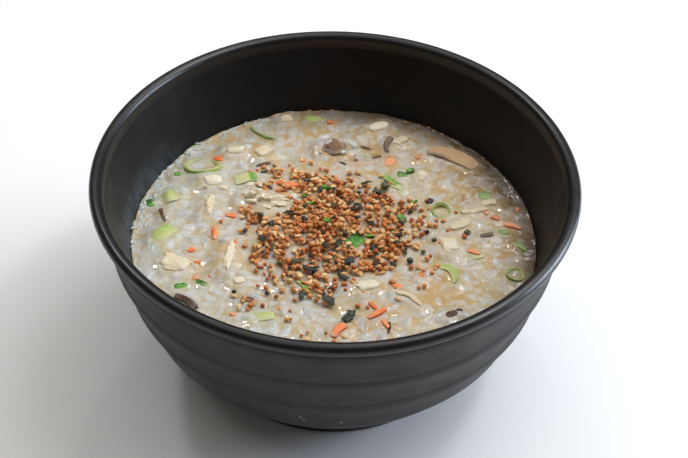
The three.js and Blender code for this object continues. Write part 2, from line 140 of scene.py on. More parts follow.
# Grains under the film and partly above it: how far they rise and how white they are.
GRAIN_COUNT = 1900
GRAIN_LAYERS = [((0.02, 0.08), (0.2, 0.6)), ((0.07, 0.22), (0.6, 1.0))]
RICE_LENGTH = (3.4, 7.0)
RICE_WIDTH = (1.8, 2.9)
RICE_SWELL = 1.15  # of a sunk grain's width
RICE_FILM = 1.4  # that the film round a loose grain adds to its length and width
RICE_GRAINS = 120
RICE_LIFT = (-1.0, -0.6)
RICE_CLEARANCE = 1.2  # from the toppings
RICE_VEIL = (0.1, 0.9)  # heights over the smooth porridge between which a grain comes clear
RICE_EDGE = 4  # kept free along the wall
GRAIN_EDGE = 0.6
LAP_WIDTH = (1.2, 1.3)  # of the slope up to a topping, and what each millimetre of climb adds
LAP_REACH = 12
LAP_DROP = 0.2  # left for the grains that lie over the film
# Smooth lobes of clear jelly: place, turn, size, rise and whiteness.
CLEAR_LOBES = [
    ((-6.8, 53.5), 55, (11, 7), 1.4, 0.8),
    ((5.2, 55.5), -20, (11, 7), 1.2, 0.75),
    ((8.6, 49), -70, (12, 5), 0.8, 0.7),
    ((-7.6, 45.5), 110, (8, 5), 0.6, 0.6),
    ((-53.4, 32.6), 6, (14, 6), 0.6, 0.8),
    ((66, -17), -40, (9, 5), 0.5, 0.6),
]
# Swollen grains lapped over the sunk mushroom: place, turn, length, width and lift.
LAPPED_GRAINS = [
    ((-5.8, 55.8), 35, 8, 4, 1.5), ((-1.6, 53.6), 24, 8.4, 3.4, 2.3), ((5.6, 54), -40, 8, 3.6, 1.7),
    ((1.6, 47.6), -12, 5, 2.6, 1.5),
]

# ---- Film, threads, drops and bubbles ----

FILM_ARC = (112, 206)  # degrees round the left back edge
FILM_LUMPS = 110
FILM_INSET = 0.2
FILM_WIDTH = 4
FILM_LIFT = (-0.3, 0.05)
FILM_TURN = (-50, 50)
FILM_SIZE = (1.2, 4.0), (0.7, 1.5), (0.35, 0.75)  # length, width and height
# Warm specks along the back edge: painted glints, small orange drops that stand for a warm lamp's reflection
# on the wet edge.
WARM_ARC = (34, 118)
WARM_GLINTS = 22
WARM_INSET = (0.1, 0.8)
WARM_STRAYS = {"share": 0.2, "inset": 5}
WARM_LIFT = 0.15
WARM_LENGTH = (0.7, 2.2)
WARM_WIDTH = 0.45
WALL_DROPS = 26
WALL_DROP_ARC = (150, 214)
WALL_DROP_RISE = (1.5, 14)  # of the lowest, and of the highest over it
WALL_DROP_DEPTH = 0.3
WALL_DROP_SIZE = (0.3, 0.7), (0.4, 1.2)  # across and upright
# The edge film's bluish white and the wall drops' pale blue-grey are partly painted reflection of the
# window's light; the warm specks are painted glints.
FILM_SHEEN_TINTS = {"edge_film": (178, 182, 180), "edge_warm_glints": (214, 150, 100), "wall_drops": (84, 92, 98)}
# Thin whitish threads on the porridge: glossy gel, with a near-white tint that is a painted highlight
# standing for the thin glints of the wet film.
THREADS = 150
THREAD_CLEARING = 28  # the sprinkle's middle, kept free of threads
THREAD_LENGTH = (2.2, 6.0)
THREAD_THICK = (0.34, 0.28)
THREAD_BEND = (40, 200)
THREAD_LIFT = 0.04
THREAD_EDGE = 3  # kept free along the wall
THREAD_CLEARANCE = 0.5  # from the toppings
THREAD_GLINT_TINT = (214, 217, 214)
# Place, radius and lift over the porridge.
BUBBLES = [(-3.4, 49.8, 1.0, 2.4), (-6.4, 46.4, 1.2, 0.9), (6.6, 50.4, 0.7, 1.6), (-51.0, 24.2, 0.9, 0.5)]

# ---- Sprinkle ----

HEAP_FIELD = {"x": -2.5, "y": 2, "reach": 33.5, "crowding": 0.68}
STRAY_FIELD = {"x": -2, "y": -3, "reach": 47, "crowding": 0.5}
STRAY_SHARE = 0.16
ON_TOPPING_SHARE = 0.12
TOPPING_LAP = 0.4  # of grains over a topping's edge
HEAP_CELL = 0.5
HEAP_HALF = 60
HEAP_BASE = 0.35  # the grains' tops over the smooth porridge
HEAP_REACH = 0.42  # of a piece's length, that it covers on each side of its middle
HEAP_FOOTING = 0.6  # of the heap under a piece is lower than its seat
GRANULE_SIZE = (1.2, 2.15)
SESAME_SIZE = (2.4, 3.3), (1.5, 2.0), (1.0, 1.4)
FLAKE_LENGTH = (1.4, 3.2)
FLAKE_WIDTH = (0.9, 1.9)
FLAKE_DEPTH = 0.34
FLAKE_TILTS = (-16, 16), (-12, 12)
FLAKE_SINK, PELLET_SINK, GREEN_SINK = -0.3, 0.1, -0.2  # shares of those listed below
# The larger dark flakes and green bits that lie on the heap: x, y, turn, length, width.
TOP_FLAKES = [
    (5.3, -44.7, 50, 3.6, 2.8), (7, -42.2, 10, 2.8, 2.6), (-1.5, -36.8, -10, 4.6, 3.2),
    (-11.3, -34.5, 80, 3, 2.2), (3.4, -24.1, -35, 4.6, 1.8), (-8.6, -20.9, -16, 6, 2.4),
    (-13.6, -17.6, -10, 4.4, 2), (5.6, -17.4, 16, 4.2, 2.4), (8.6, 12.1, -10, 3.8, 3.4),
    (17.5, 23.2, -24, 5.4, 2.6), (-26.9, -7.5, -60, 4, 2.4), (1.4, -8.6, 60, 4.2, 2.2),
    (-17, 8.8, 0, 4.4, 1.8), (-11.2, 4.4, -30, 3.4, 1.8), (-30, 8.6, 20, 3.4, 1.4),
    (-3, -10.6, -30, 3.2, 1.8), (12, 29, 10, 4, 1.6), (37, 20.4, 80, 2.6, 2.4), (24.4, -1.6, 20, 3, 1.6),
    (2, 27.4, 10, 3.4, 1.4), (-6, 20.6, 60, 2.8, 1.6), (-24, 2, 30, 2.6, 1.8),
]
TOP_GREENS = [
    (-2.9, 1.3, 40, 3, 2.2), (-3.6, 22.4, -20, 4, 1.8), (-8.6, 13.4, 20, 2.4, 1.2), (13.4, -5.4, -8, 4, 0.9),
    (25.8, 8.6, -56, 4.6, 2.8), (29.6, 37.4, 10, 3.4, 2), (-12, 18.6, -50, 2.4, 1.2), (31, 20, 30, 2.4, 1.2),
]
TOP_PELLETS = [  # x, y and width
    (19.3, 28, 3.3), (28.6, -14, 2.5), (37.9, -2.5, 2.1), (-34, -1, 1.8), (-36, -33, 1.8), (-24, -33.6, 1.8),
    (-32.4, 19, 2), (35.4, 2.4, 1.8), (33.6, -8.6, 1.8),
]

# ---- Toppings ----

# Turn in plan, size and bends of each topping. A strip's size is length, width and height, a
# ring's is outer radius, wall and height. Their places come from the frame.
SCALLIONS = {
    "scallion_curl": dict(turn=-37, size=(12.6, 1.1, 3), bend=-60, green=(0.6, 0.8)),
    "scallion_ring_left": dict(turn=4, size=(5.2, 1.2, 3.2), ring=True, oval=1.42, roll=-10, show=1.6,
                               green=(0.12, 0.5)),
    "scallion_piece": dict(turn=14, size=(8.6, 5.8, 3.4), arch=50, taper=0.2, green=(0.15, 0.82), tip=True),
    "scallion_wedge": dict(turn=32, size=(8.2, 6, 3), arch=30, taper=0.2, green=(0.1, 0.5)),
    "scallion_chunk": dict(turn=61, size=(10.2, 6.6, 3), arch=30, taper=0.2, green=(0.12, 0.64)),
    "scallion_sliver": dict(turn=-58, size=(10, 1.8, 1.6), bend=40, green=(0.55, 0.85)),
    "scallion_leaf": dict(turn=43, size=(7.6, 6.2, 1.1), arch=70, roll=12, green=(0.8, 1), show=1.3,
                          melt=0.1),
    "scallion_strip": dict(turn=-47, size=(10, 2.8, 1.6), arch=30, green=(0.6, 0.85)),
    "scallion_ring_right": dict(turn=20, size=(3.9, 1.1, 3.4), ring=True, roll=14, show=1.7,
                                green=(0.42, 0.82)),
    "scallion_crescent": dict(turn=-57, size=(12.6, 3.2, 3), bend=120, taper=0.5, green=(0.3, 0.6)),
    "scallion_ring_edge": dict(turn=0, size=(3.4, 0.9, 2.6), ring=True, pitch=8, show=1.1, green=(0.35, 0.7)),
}
CARROTS = {
    "carrot_left": dict(turn=-84, size=(7.4, 2.2, 2), bend=16),
    "carrot_front": dict(turn=39, size=(8.6, 2.3, 1.8), bend=-20),
    "carrot_near": dict(turn=55, size=(8, 3.2, 2.2), bend=55, taper=0.3),
    "carrot_right": dict(turn=-19, size=(10, 2.2, 1.6), bend=14),
    "carrot_back": dict(turn=3, size=(7.6, 2.8, 1.6), bend=10),
}
CHICKENS = {
    "chicken_large": dict(turn=-22, size=(19, 9, 5), fray=0.9, taper=0.2, show=3.6, pale=1,
                          core=(0.85, 0.8, 0.6)),
    "chicken_shred_left": dict(turn=-92, size=(13.6, 4.4, 3), fray=0.5, taper=0.45),
    "chicken_crumbly": dict(turn=-96, size=(15, 4.8, 3), fray=0.7, taper=0.2, pale=0.6),
    "chicken_soft_left": dict(turn=-25, size=(10.6, 8.6, 3.4), fray=0.6, taper=0.3),
    "chicken_by_ring": dict(turn=18, size=(6.9, 5.6, 3), fray=0.3, taper=0.3, pale=1),
    "chicken_back_left": dict(turn=2, size=(6.8, 4.8, 3), fray=0.3, taper=0.2, pale=0.8),
    "chicken_back": dict(turn=30, size=(7, 6.4, 3.2), fray=0.4, taper=0.3),
    "chicken_cube": dict(turn=17, size=(7.6, 4.8, 3), fray=0.2, pale=0.9),
    "chicken_curl": dict(turn=-36, size=(12.4, 2.2, 2.6), bend=60, fray=0.2),
    "chicken_block": dict(turn=4, size=(7.4, 8.2, 3.2), fray=0.3, pale=0.7),
    "chicken_flake": dict(turn=31, size=(8.6, 4.2, 2.6), fray=0.4, taper=0.3),
    "chicken_shred_right": dict(turn=18, size=(11, 2.8, 2.4), fray=0.3, taper=0.4),
    "chicken_far": dict(turn=28, size=(8.4, 5.4, 3), fray=0.4, taper=0.3, pale=1),
}
SHIITAKES = {
    "shiitake_slice": dict(turn=-28, size=(22.4, 7.6, 3), bend=45, taper=0.35, skin=(0.95, 0), show=0.9,
                           melt=0.9, tint="meat", half_cap=True),
    "shiitake_curl": dict(turn=-100, size=(10, 2.1, 2.2), bend=-60, skin=(1, 0.85), melt=0.25),
    "shiitake_rim": dict(turn=-37, size=(10.6, 2.4, 2), bend=50, skin=(0.95, 0.85), melt=0.25),
    "shiitake_chunk": dict(turn=-14, size=(9.6, 8, 3.6), taper=0.3, skin=(0.85, 0.5), show=1.7, melt=0.6,
                           uneven=0.7),
}
SHOW = 1.05  # of a topping stands clear of the film that climbs it
MEAT_SHOW = 0.9
SCRAP_SHOW = 0.55
VEIL_DEPTH = 1.2  # below that its colour is lost in the gel
MELT = 0.7  # how far its edge fades into the gel
MEAT_VOXEL = 0.24
MEAT_SMOOTHING = 0.5, 10  # share and rounds
MEAT_ROUGHNESS = 0.12, 3.6  # depth and length of its waves
STRAND_THICK = (1.2, 2.4)
STRAND_COVER = 12  # square millimetres of a piece to each of its strands
CORE_SHARE = (0.84, 0.78, 0.86)
PALE = 0.3
# Upright strands on the large piece: place along and across it, length, thickness and lean.
SPIKES = [(-7.4, 0.4, 7, 2.8, 48), (-5.0, 2.4, 7, 2.6, 60), (-3.4, 0.2, 7, 2.8, 40), (-0.6, 1.4, 7, 2.6, 30),
          (-5.4, -2.2, 6, 2.4, 24)]
SPIKE_LIFT = -1.1

# Scraps too small to be nodes, by kind: x, y, turn, length, width.
GREEN_SCRAPS = [
    (-71.4, 15.4, 2, 5.2, 3.9), (-55.6, -29.2, 26, 5.2, 2.4), (-48.2, -27.4, -30, 5.4, 1.8),
    (58.6, 24.4, 2, 4.4, 4.4), (71, -4.2, -52, 5.8, 2.4), (64, 3.2, 4, 4.8, 1.8), (-59, 50, 40, 5, 2.6),
    (26.4, 35.8, -10, 4, 3), (10, 48.6, -42, 8, 1), (-62.6, 33, 20, 3.2, 2),
]
PALE_SCRAPS = [
    (24, 1.8, -10, 4.6, 4.4), (-25, -45, 10, 8.5, 4.4), (23, 30, -40, 8, 4), (54, -10, 20, 5, 3),
    (-9.5, 70, -10, 8, 4), (-50.8, 27, 10, 3.4, 2.6), (-4, 30, 30, 4, 2), (47, 13.5, 20, 6, 3),
]
CARROT_SCRAPS = [
    (32.9, -20.6, 61, 6.4, 1.7), (21.6, 44.6, 40, 4.6, 3.8), (-47.4, 43.4, 15, 3.8, 3),
    (-53.6, -10.6, 40, 3, 2.6), (23.4, -27.6, -28, 4.4, 2.6), (-13.2, 43, 30, 2.2, 2),
    (-3, 68.4, 0, 2.6, 1.8),
    (-40, 9, -14, 4.4, 2.2), (-51, -17, 20, 2.6, 1.8), (-51, -25, 50, 2.4, 1.6), (-45, -24, 0, 2.2, 1.4),
    (-37, -8, -40, 3, 1.8), (-28, -17, 10, 3.2, 2), (-19, -41, 60, 2.4, 2), (-36, -44, 10, 1.8, 1.6),
    (42, -3, 10, 3.4, 2), (52.6, -8, -18, 5.2, 2), (58.8, 14.3, 0, 2.8, 1.6), (71, 17, 60, 2.6, 1.6),
    (14.5, -38, -50, 4.6, 1.7), (19, -47, -58, 5, 1.8), (62, 11.4, -20, 4, 1.6), (-22, 29.4, 40, 3.4, 2),
    (33, 47, 20, 2.2, 1.8),
]
MUSHROOM_SCRAPS = [
    (-66.2, 9, -70, 7, 1.4), (-29.3, 40.2, 23, 7, 1.7), (58.6, 1.2, 16, 6.6, 2.4), (-30.2, -36.6, -4, 6, 2.4),
    (43, -40.6, 30, 4.4, 2.6), (46, -38.8, -20, 2.4, 1.4), (20.4, -49, 84, 5.6, 0.9),
    (-5.6, 58.4, 40, 3.6, 1), (4.6, 58.6, 40, 3.4, 1.8), (11.8, 52.8, -20, 4.4, 1.2),
    (8.4, 44.4, 30, 3, 1.6), (2.6, 40.8, -20, 3.2, 1.2), (16.4, 47.6, 20, 4, 1.2), (-30, 12.6, -30, 3.2, 1),
]
MEAT_SCRAPS = [
    (34.4, 36, 60, 3.8, 3.6), (34, 33.4, 80, 3, 2.4), (-21, 70, 20, 5.4, 4), (-33.5, 27.6, 20, 4, 2.4),
    (60, 20.5, 10, 6, 3.4), (-15.2, 19.6, -30, 6, 3.2), (-36, -20, 60, 5, 3.4), (-34.4, -27, 20, 4.2, 3.4),
    (-44, 24.4, -20, 4, 2), (27, 58.4, 30, 5, 3.8), (24.6, 56.8, -30, 4, 2.4),
]
# Each kind of scrap's slot, lowest and highest mark, height and lift.
SCRAPS = {
    "scallion_scraps": ("scallion", (0.7, 0.9), 1.5, 0.35, GREEN_SCRAPS),
    "pale_scallion_scraps": ("scallion", (0.2, 0.5), 1.2, 0.05, PALE_SCRAPS),
    "carrot_scraps": ("carrot", (0.1, 0.9), 1.5, 0.3, CARROT_SCRAPS),
    "shiitake_scraps": ("shiitake", (0.5, 1), 1.4, 0.45, MUSHROOM_SCRAPS),
    "chicken_scraps": ("chicken", (0, 1), 1.8, 0.35, MEAT_SCRAPS),
}
SCRAP_BENDS = {"taper": (0, 0.5), "bend": (-30, 30), "arch": (0, 30)}
SCRAP_TILTS = (-8, 8), (-6, 6)
# The mark that the colours of each slot's pieces follow, and the tint that they lend the gel.
KINDS = {
    "scallion": ("green", "green"),
    "carrot": ("tone", "orange"),
    "chicken": ("tone", "meat"),
    "shiitake": ("skin", "brown"),
}
TOPPINGS = {**SCALLIONS, **CARROTS, **SHIITAKES, **CHICKENS}
for kind_node, kind_spec in TOPPINGS.items():
    kind_tint = KINDS[kind_node.split("_")[0]][1]
    kind_spec.setdefault("show", MEAT_SHOW if kind_tint == "meat" else SHOW)
    kind_spec.setdefault("tint", kind_tint)


# ---- Sums ----


def drawn(step):
    """The random numbers of one step of make_all, seeded on their own."""
    return np.random.default_rng(SEED + step)


def draws(random, *ranges):
    """A random number from each range."""
    return [random.uniform(*ends) for ends in ranges]


def smooth_step(value, low, high):
    share = np.clip((value - low) / (high - low), 0, 1)
    return share * share * (3 - 2 * share)


def around(angle_deg, radius):
    return radius * math.cos(math.radians(angle_deg)), radius * math.sin(math.radians(angle_deg))


def surface_z(x, y):
    """Height of the porridge before its grains: a mound, long swells and a flat edge."""
    away = ((x - MOUND["x"]) ** 2 + (y - MOUND["y"]) ** 2) / (2 * MOUND["spread"] ** 2)
    relief = MOUND["height"] * np.exp(-away)
    for height, length, heading, phase in SWELLS:
        along = x * math.cos(math.radians(heading)) + y * math.sin(math.radians(heading))
        relief = relief + height * np.sin(2 * math.pi * along / length + phase)
    return LEVEL_Z + relief * (1 - np.minimum(1, np.hypot(x, y) / SURFACE_RADIUS) ** 4)


def clear_share(x, y):
    """How clear and beige the gel is at a place, and the share of grains left out there."""
    fields = [share * np.exp(-((x - at_x) ** 2 + (y - at_y) ** 2) / reach**2)
              for at_x, at_y, reach, share in CLEAR_FIELDS]
    return np.max(fields, axis=0)


def ripples(x, y, length, height, random, count=9):
    """A rough sum of waves in random directions, about height high and length long."""
    total = 0
    for _ in range(count):
        heading = random.uniform(0, math.pi)
        wave = length * random.uniform(0.65, 1.5)
        phase = random.uniform(0, 2 * math.pi)
        total = total + np.sin(2 * math.pi * (x * math.cos(heading) + y * math.sin(heading)) / wave + phase)
    return height * total / math.sqrt(count)


def disc_place(random, reach):
    radius = reach * math.sqrt(random.uniform(0, 1))
    angle = random.uniform(0, 2 * math.pi)
    return radius * math.cos(angle), radius * math.sin(angle)


def node_box(node):
    """A node's lowest and highest corner, in millimetres."""
    low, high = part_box(node)
    return np.array(low) / MM, np.array(high) / MM


def footprints():
    """The oriented boxes that the toppings cover in plan."""
    boxes = []
    for node, spec in TOPPINGS.items():
        low, high = node_box(node)
        size = spec["size"]
        half = (size[0], size[0]) if "ring" in spec else (size[0] / 2, size[1] / 2)
        boxes.append(((low + high)[:2] / 2, math.radians(spec["turn"]), half))
    return boxes


def is_free(x, y, boxes, margin):
    for centre, turn, half in boxes:
        dx, dy = x - centre[0], y - centre[1]
        along = dx * math.cos(turn) + dy * math.sin(turn)
        side = dy * math.cos(turn) - dx * math.sin(turn)
        if abs(along) < half[0] + margin and abs(side) < half[1] + margin:
            return False
    return True


# ---- Making pieces ----


def add_marks(mesh, marks):
    for mark, values in marks.items():
        layer = mesh.attributes.new(mark, "FLOAT", "POINT")
        layer.data.foreach_set("value", np.asarray(values, dtype=np.float32))


def mesh_object(name, points, faces, marks, material, slot, *stands_for):
    """Adds a smooth mesh from points in millimetres. marks are named values, one for each point."""
    points = np.asarray(points)
    if "sunk" in marks or "grain" in marks:
        marks = {**marks, "clear": clear_share(points[:, 0], points[:, 1])}
    mesh = bpy.data.meshes.new(name)
    mesh.from_pydata((points * MM).tolist(), [], [list(map(int, face)) for face in faces])
    add_marks(mesh, marks)
    mesh.polygons.foreach_set("use_smooth", [True] * len(mesh.polygons))
    mesh.materials.append(material)
    piece = bpy.data.objects.new(name, mesh)
    bpy.context.collection.objects.link(piece)
    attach(piece, "root")
    if stands_for:
        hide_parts(*stands_for)
    return piece


def stitched(rings):
    """Faces between rings of point numbers, from the lowest up. A ring of one point closes the end."""
    faces = []
    for low, high in zip(rings, rings[1:]):
        for face in zip(low, low[1:] + low[:1], high[1:] + high[:1], high):
            faces.append(list(dict.fromkeys(face)))
    return faces


def cube_shell(steps):
    """The surface of the cube from -1 to 1 as quads, with steps[i] squares along axis i."""
    corner_of, points, quads = {}, [], []

    def corner(cell):
        if cell not in corner_of:
            corner_of[cell] = len(points)
            points.append([2 * place / count - 1 for place, count in zip(cell, steps)])
        return corner_of[cell]

    for axis in range(3):
        u, v = (axis + 1) % 3, (axis + 2) % 3
        for side in (0, steps[axis]):
            for i, j in np.ndindex(steps[u], steps[v]):
                quad = []
                for du, dv in ((0, 0), (1, 0), (1, 1), (0, 1)):
                    cell = [0, 0, 0]
                    cell[axis], cell[u], cell[v] = side, i + du, j + dv
                    quad.append(corner(tuple(cell)))
                quads.append(quad if side else quad[::-1])
    return np.array(points), np.array(quads)


def ball(steps):
    """A unit ball of quads, steps squares along each edge of the cube it grew from."""
    points, quads = cube_shell((steps,) * 3)
    points = np.tan(points * math.pi / 4)
    return points / np.linalg.norm(points, axis=1, keepdims=True), quads


def egg(size, steps=4):
    """A ball stretched to a size, and its points' places on the unit ball."""
    unit, quads = ball(steps)
    return unit * np.array(size) / 2, unit, quads


def rounded_block(steps, size, radius):
    """A block with rounded edges, and each point's place in the unit box."""
    unit, quads = cube_shell(steps)
    unit = np.sin(unit * math.pi / 2)
    half = np.array(size) / 2
    radius = min(radius, *half)
    full = unit * half
    inner = np.clip(full, radius - half, half - radius)
    outward = full - inner
    outward /= np.maximum(np.linalg.norm(outward, axis=1, keepdims=True), 1e-9)
    return inner + outward * radius, unit, quads


def bend_points(points, axis, angle, length):
    """Bends a strip round an arc of angle degrees; its ends go towards minus the axis."""
    if angle == 0:
        return points
    radius = length / math.radians(angle)
    turn = points[:, 0] / radius
    offset = radius + points[:, axis]
    bent = points.copy()
    bent[:, 0] = offset * np.sin(turn)
    bent[:, axis] = offset * np.cos(turn) - radius
    return bent


def turned(points, roll=0, pitch=0, turn=0):
    matrix = np.array(Euler([math.radians(a) for a in (roll, pitch, turn)], "XYZ").to_matrix())
    return points @ matrix.T


def joined(parts):
    """Joins (points, quads, marks) parts into one."""
    points, quads, marks, start = [], [], {}, 0
    for part_points, part_quads, part_marks in parts:
        points.append(part_points)
        quads.append(np.asarray(part_quads) + start)
        start += len(part_points)
        for mark, values in part_marks.items():
            marks.setdefault(mark, []).append(np.broadcast_to(values, len(part_points)))
    marks = {mark: np.concatenate(values) for mark, values in marks.items()}
    return np.concatenate(points), np.concatenate(quads), marks


# ---- Materials ----


def linear(red, green, blue):
    """A colour made linear for the shaders."""
    def curve(value):
        share = value / 255
        return share / 12.92 if share <= 0.04045 else ((share + 0.055) / 1.055) ** 2.4
    return (curve(red), curve(green), curve(blue), 1)


class Look:
    """A material's node tree, with short calls for the nodes that the materials share."""

    def __init__(self, name):
        self.material = bpy.data.materials.new(name)
        self.material.use_nodes = True
        self.tree = self.material.node_tree

    def node(self, kind, wires=None, **settings):
        made = self.tree.nodes.new(kind)
        for key, value in settings.items():
            setattr(made, key, value)
        for socket, source in (wires or {}).items():
            self.wire(source, made.inputs[socket])
        return made

    def wire(self, source, socket):
        if isinstance(source, bpy.types.NodeSocket):
            self.tree.links.new(source, socket)
        else:
            socket.default_value = linear(*source) if socket.type == "RGBA" else source

    def finish(self, color, rough, normal=None, scatter=None, **inputs):
        """Sets the shader. scatter is its weight, its radius by colour and its depth in millimetres."""
        if normal:
            inputs["Normal"] = normal
        if scatter:
            weight, radius, depth = scatter
            inputs.update(Subsurface_Weight=weight, Subsurface_Radius=radius, Subsurface_Scale=depth * MM)
        inputs.update(Base_Color=color, Roughness=rough)
        shader = self.tree.nodes["Principled BSDF"]
        for name, source in inputs.items():
            self.wire(source, shader.inputs[name.replace("_", " ")])
        return self.material

    def here(self):
        """Object coordinates in metres."""
        return self.node("ShaderNodeTexCoord").outputs["Object"]

    def noise(self, size_mm, detail=3, roughness=0.5, distortion=0.0, stretch=(1, 1, 1)):
        place = self.node("ShaderNodeMapping", {"Vector": self.here(), "Scale": stretch}).outputs["Vector"]
        wires = {"Vector": place, "Scale": 1 / (size_mm * MM), "Detail": detail, "Roughness": roughness,
                 "Distortion": distortion}
        return self.node("ShaderNodeTexNoise", wires).outputs["Fac"]

    def mark(self, name):
        return self.node("ShaderNodeAttribute", attribute_name=name).outputs["Fac"]

    def range(self, value, low, high, to_low=0.0, to_high=1.0):
        wires = {"Value": value, "From Min": low, "From Max": high, "To Min": to_low, "To Max": to_high}
        return self.node("ShaderNodeMapRange", wires).outputs["Result"]

    def spread(self, noise, low, high):
        """A noise's usual range, stretched from low to high."""
        return self.range(noise, 0.3, 0.7, low, high)

    def math(self, operation, a, b=0.0):
        return self.node("ShaderNodeMath", {0: a, 1: b}, operation=operation).outputs["Value"]

    def plus(self, a, b):
        return self.math("ADD", a, b)

    def times(self, a, b):
        return self.math("MULTIPLY", a, b)

    def mix(self, factor, a, b):
        return self.node("ShaderNodeMix", {"Factor": factor, 6: a, 7: b}, data_type="RGBA").outputs[2]

    def ramp(self, factor, stops):
        made = self.node("ShaderNodeValToRGB", {"Fac": factor})
        elements = made.color_ramp.elements
        while len(elements) < len(stops):
            elements.new(0.5)
        for element, (position, color) in zip(elements, stops):
            element.position = position
            element.color = linear(*color)
        return made.outputs["Color"]

    def axis(self, name):
        return self.node("ShaderNodeSeparateXYZ", {"Vector": self.here()}).outputs[name]

    def near(self, places, reach_mm):
        """1 at each of the places, in millimetres, and 0 from reach away."""
        total = 0.0
        for place in places:
            ends = {0: self.here(), 1: [c * MM for c in place]}
            away = self.node("ShaderNodeVectorMath", ends, operation="DISTANCE").outputs["Value"]
            total = self.math("MAXIMUM", total, self.range(away, 0, reach_mm * MM, 1, 0))
        return total

    def bump(self, height, depth_mm, strength, under=None):
        wires = {"Height": height, "Distance": depth_mm * MM, "Strength": strength}
        if under is not None:
            wires["Normal"] = under
        return self.node("ShaderNodeBump", wires).outputs["Normal"]

    def turning_marks(self):
        return self.noise(1.6, 3, 0.65, stretch=(0.02, 0.02, 1))


def matte_glaze_look():
    look = Look("matte_charcoal_glaze")
    fleck = look.noise(0.7, 2, 0.8)
    rings = look.turning_marks()
    matte = look.mix(look.range(look.noise(26, 4, 0.6), 0.35, 0.68), (29, 26, 24), (37, 36, 36))
    matte = look.mix(look.range(rings, 0.42, 0.7, 0, 0.35), matte, (50, 48, 47))
    matte = look.mix(look.range(fleck, 0.52, 0.72, 0, 0.75), matte, (72, 71, 71))
    worn = look.times(look.near(CHIPS, CHIP_REACH), look.range(fleck, 0.3, 0.6, 0.3, 1.6))
    matte = look.mix(look.range(worn, 0.3, 0.6), matte, (150, 150, 148))
    turning = look.bump(rings, 0.22, 0.45, look.bump(look.noise(0.55, 3, 0.7), 0.05, 0.55))
    return look.finish(matte, look.spread(look.noise(9), 0.5, 0.62),
                       look.bump(look.noise(17, 2), 0.5, 0.35, turning), IOR=1.42)


def lip_glaze_look():
    look = Look("glossy_black_glaze")
    black = look.mix(look.spread(look.noise(14, 4, 0.6), 0, 1), (16, 16, 17), (24, 24, 26))
    return look.finish(black, look.spread(look.noise(7), 0.28, 0.36), look.bump(look.noise(11, 2), 0.15, 0.3),
                       IOR=1.48)


def satin_glaze_look():
    look = Look("satin_black_glaze")
    rings = look.turning_marks()
    black = look.mix(look.spread(look.noise(26, 4, 0.6), 0, 1), (15, 15, 16), (21, 21, 23))
    black = look.mix(look.range(rings, 0.45, 0.7, 0, 0.25), black, (33, 33, 36))
    # Low on the left wall, wet smears tinted pale blue-grey: real smears, with painted light and reflection
    # where the lamps light that side of the wall.
    low = look.range(look.axis("Z"), 0.054, 0.066, 1, 0)
    left = look.range(look.axis("X"), -0.06, -0.078)
    streaks = look.range(look.noise(3, 4, stretch=(1, 1, 0.4)), 0.35, 0.65, 0.25, 1)
    smear_and_reflection = look.times(look.times(low, left), streaks)
    return look.finish(look.mix(look.times(smear_and_reflection, 0.6), black, (96, 104, 112)),
                       look.spread(look.noise(9), 0.36, 0.5),
                       look.bump(look.noise(17, 2), 0.4, 0.3, look.bump(rings, 0.16, 0.35)), IOR=1.3)


def gel_color_and_shade(look):
    """The gel's colour, and how far over to the right it is. It is milky on the left, beige where
    it is clear, and browner and darker towards the back right, which is partly painted shade of the bowl's
    right wall."""
    side = look.plus(look.axis("X"), look.times(look.axis("Y"), 0.55))
    side = look.plus(side, look.range(look.noise(24, 2), 0.25, 0.75, -0.016, 0.016))
    side = look.range(side, -0.075, 0.085)
    beige = look.ramp(side, [(0, (192, 165, 110)), (0.25, (207, 168, 110)), (0.55, (203, 165, 106)),
                             (0.78, (178, 140, 84)), (1, (127, 94, 50))])
    milky = look.mix(look.range(side, 0.3, 1), (191, 172, 130), (196, 165, 112))
    patchy = look.plus(look.mark("clear"), look.spread(look.noise(7), -0.22, 0.22))
    return look.mix(look.range(patchy, 0.05, 0.65), milky, beige), side


def edge_shade(look, color):
    """Painted shade along the back right edge, where the bowl's wall shades the thin, clear gel with the dark
    wall behind it.
    """
    across, back = look.axis("X"), look.axis("Y")
    radius = look.math("SQRT", look.plus(look.times(across, across), look.times(back, back)))
    rim = look.math("POWER", look.range(radius, 0.059, 0.0766), 1.6)
    side = look.range(look.plus(across, look.times(back, 0.7)), 0.012, 0.06)
    return look.mix(look.times(rim, look.times(side, 0.95)), color, (60, 41, 17))


def wet_coat(look):
    """A glossy coat with the fine wrinkles of a starchy film: thin ridges over a soft unevenness."""
    folds = look.noise(4.2, 2, distortion=1.4)
    ridge = look.range(look.math("ABSOLUTE", look.plus(folds, -0.5)), 0, 0.07, 1, 0)
    soft = look.bump(look.noise(2.6, 2, distortion=0.6), 0.18, 0.5)
    return {"Coat_Normal": look.bump(ridge, 0.35, 0.6, soft), "Coat_Weight": 1.0, "Coat_Roughness": 0.07,
            "Coat_IOR": 1.7, "IOR": 1.2}


def veiled(look, color, most=0.7):
    """A colour that fades into the gel towards the sunk part of a piece, and over to the right,
    where the gel is thin and lies over everything; there the fade is partly painted shade of the bowl's wall."""
    gel, side = gel_color_and_shade(look)
    cover = look.math("MAXIMUM", look.mark("sunk"), look.range(side, 0.6, 0.95, 0, 0.6))
    return look.mix(look.times(cover, most), color, look.mix(0.5, gel, (194, 189, 176)))


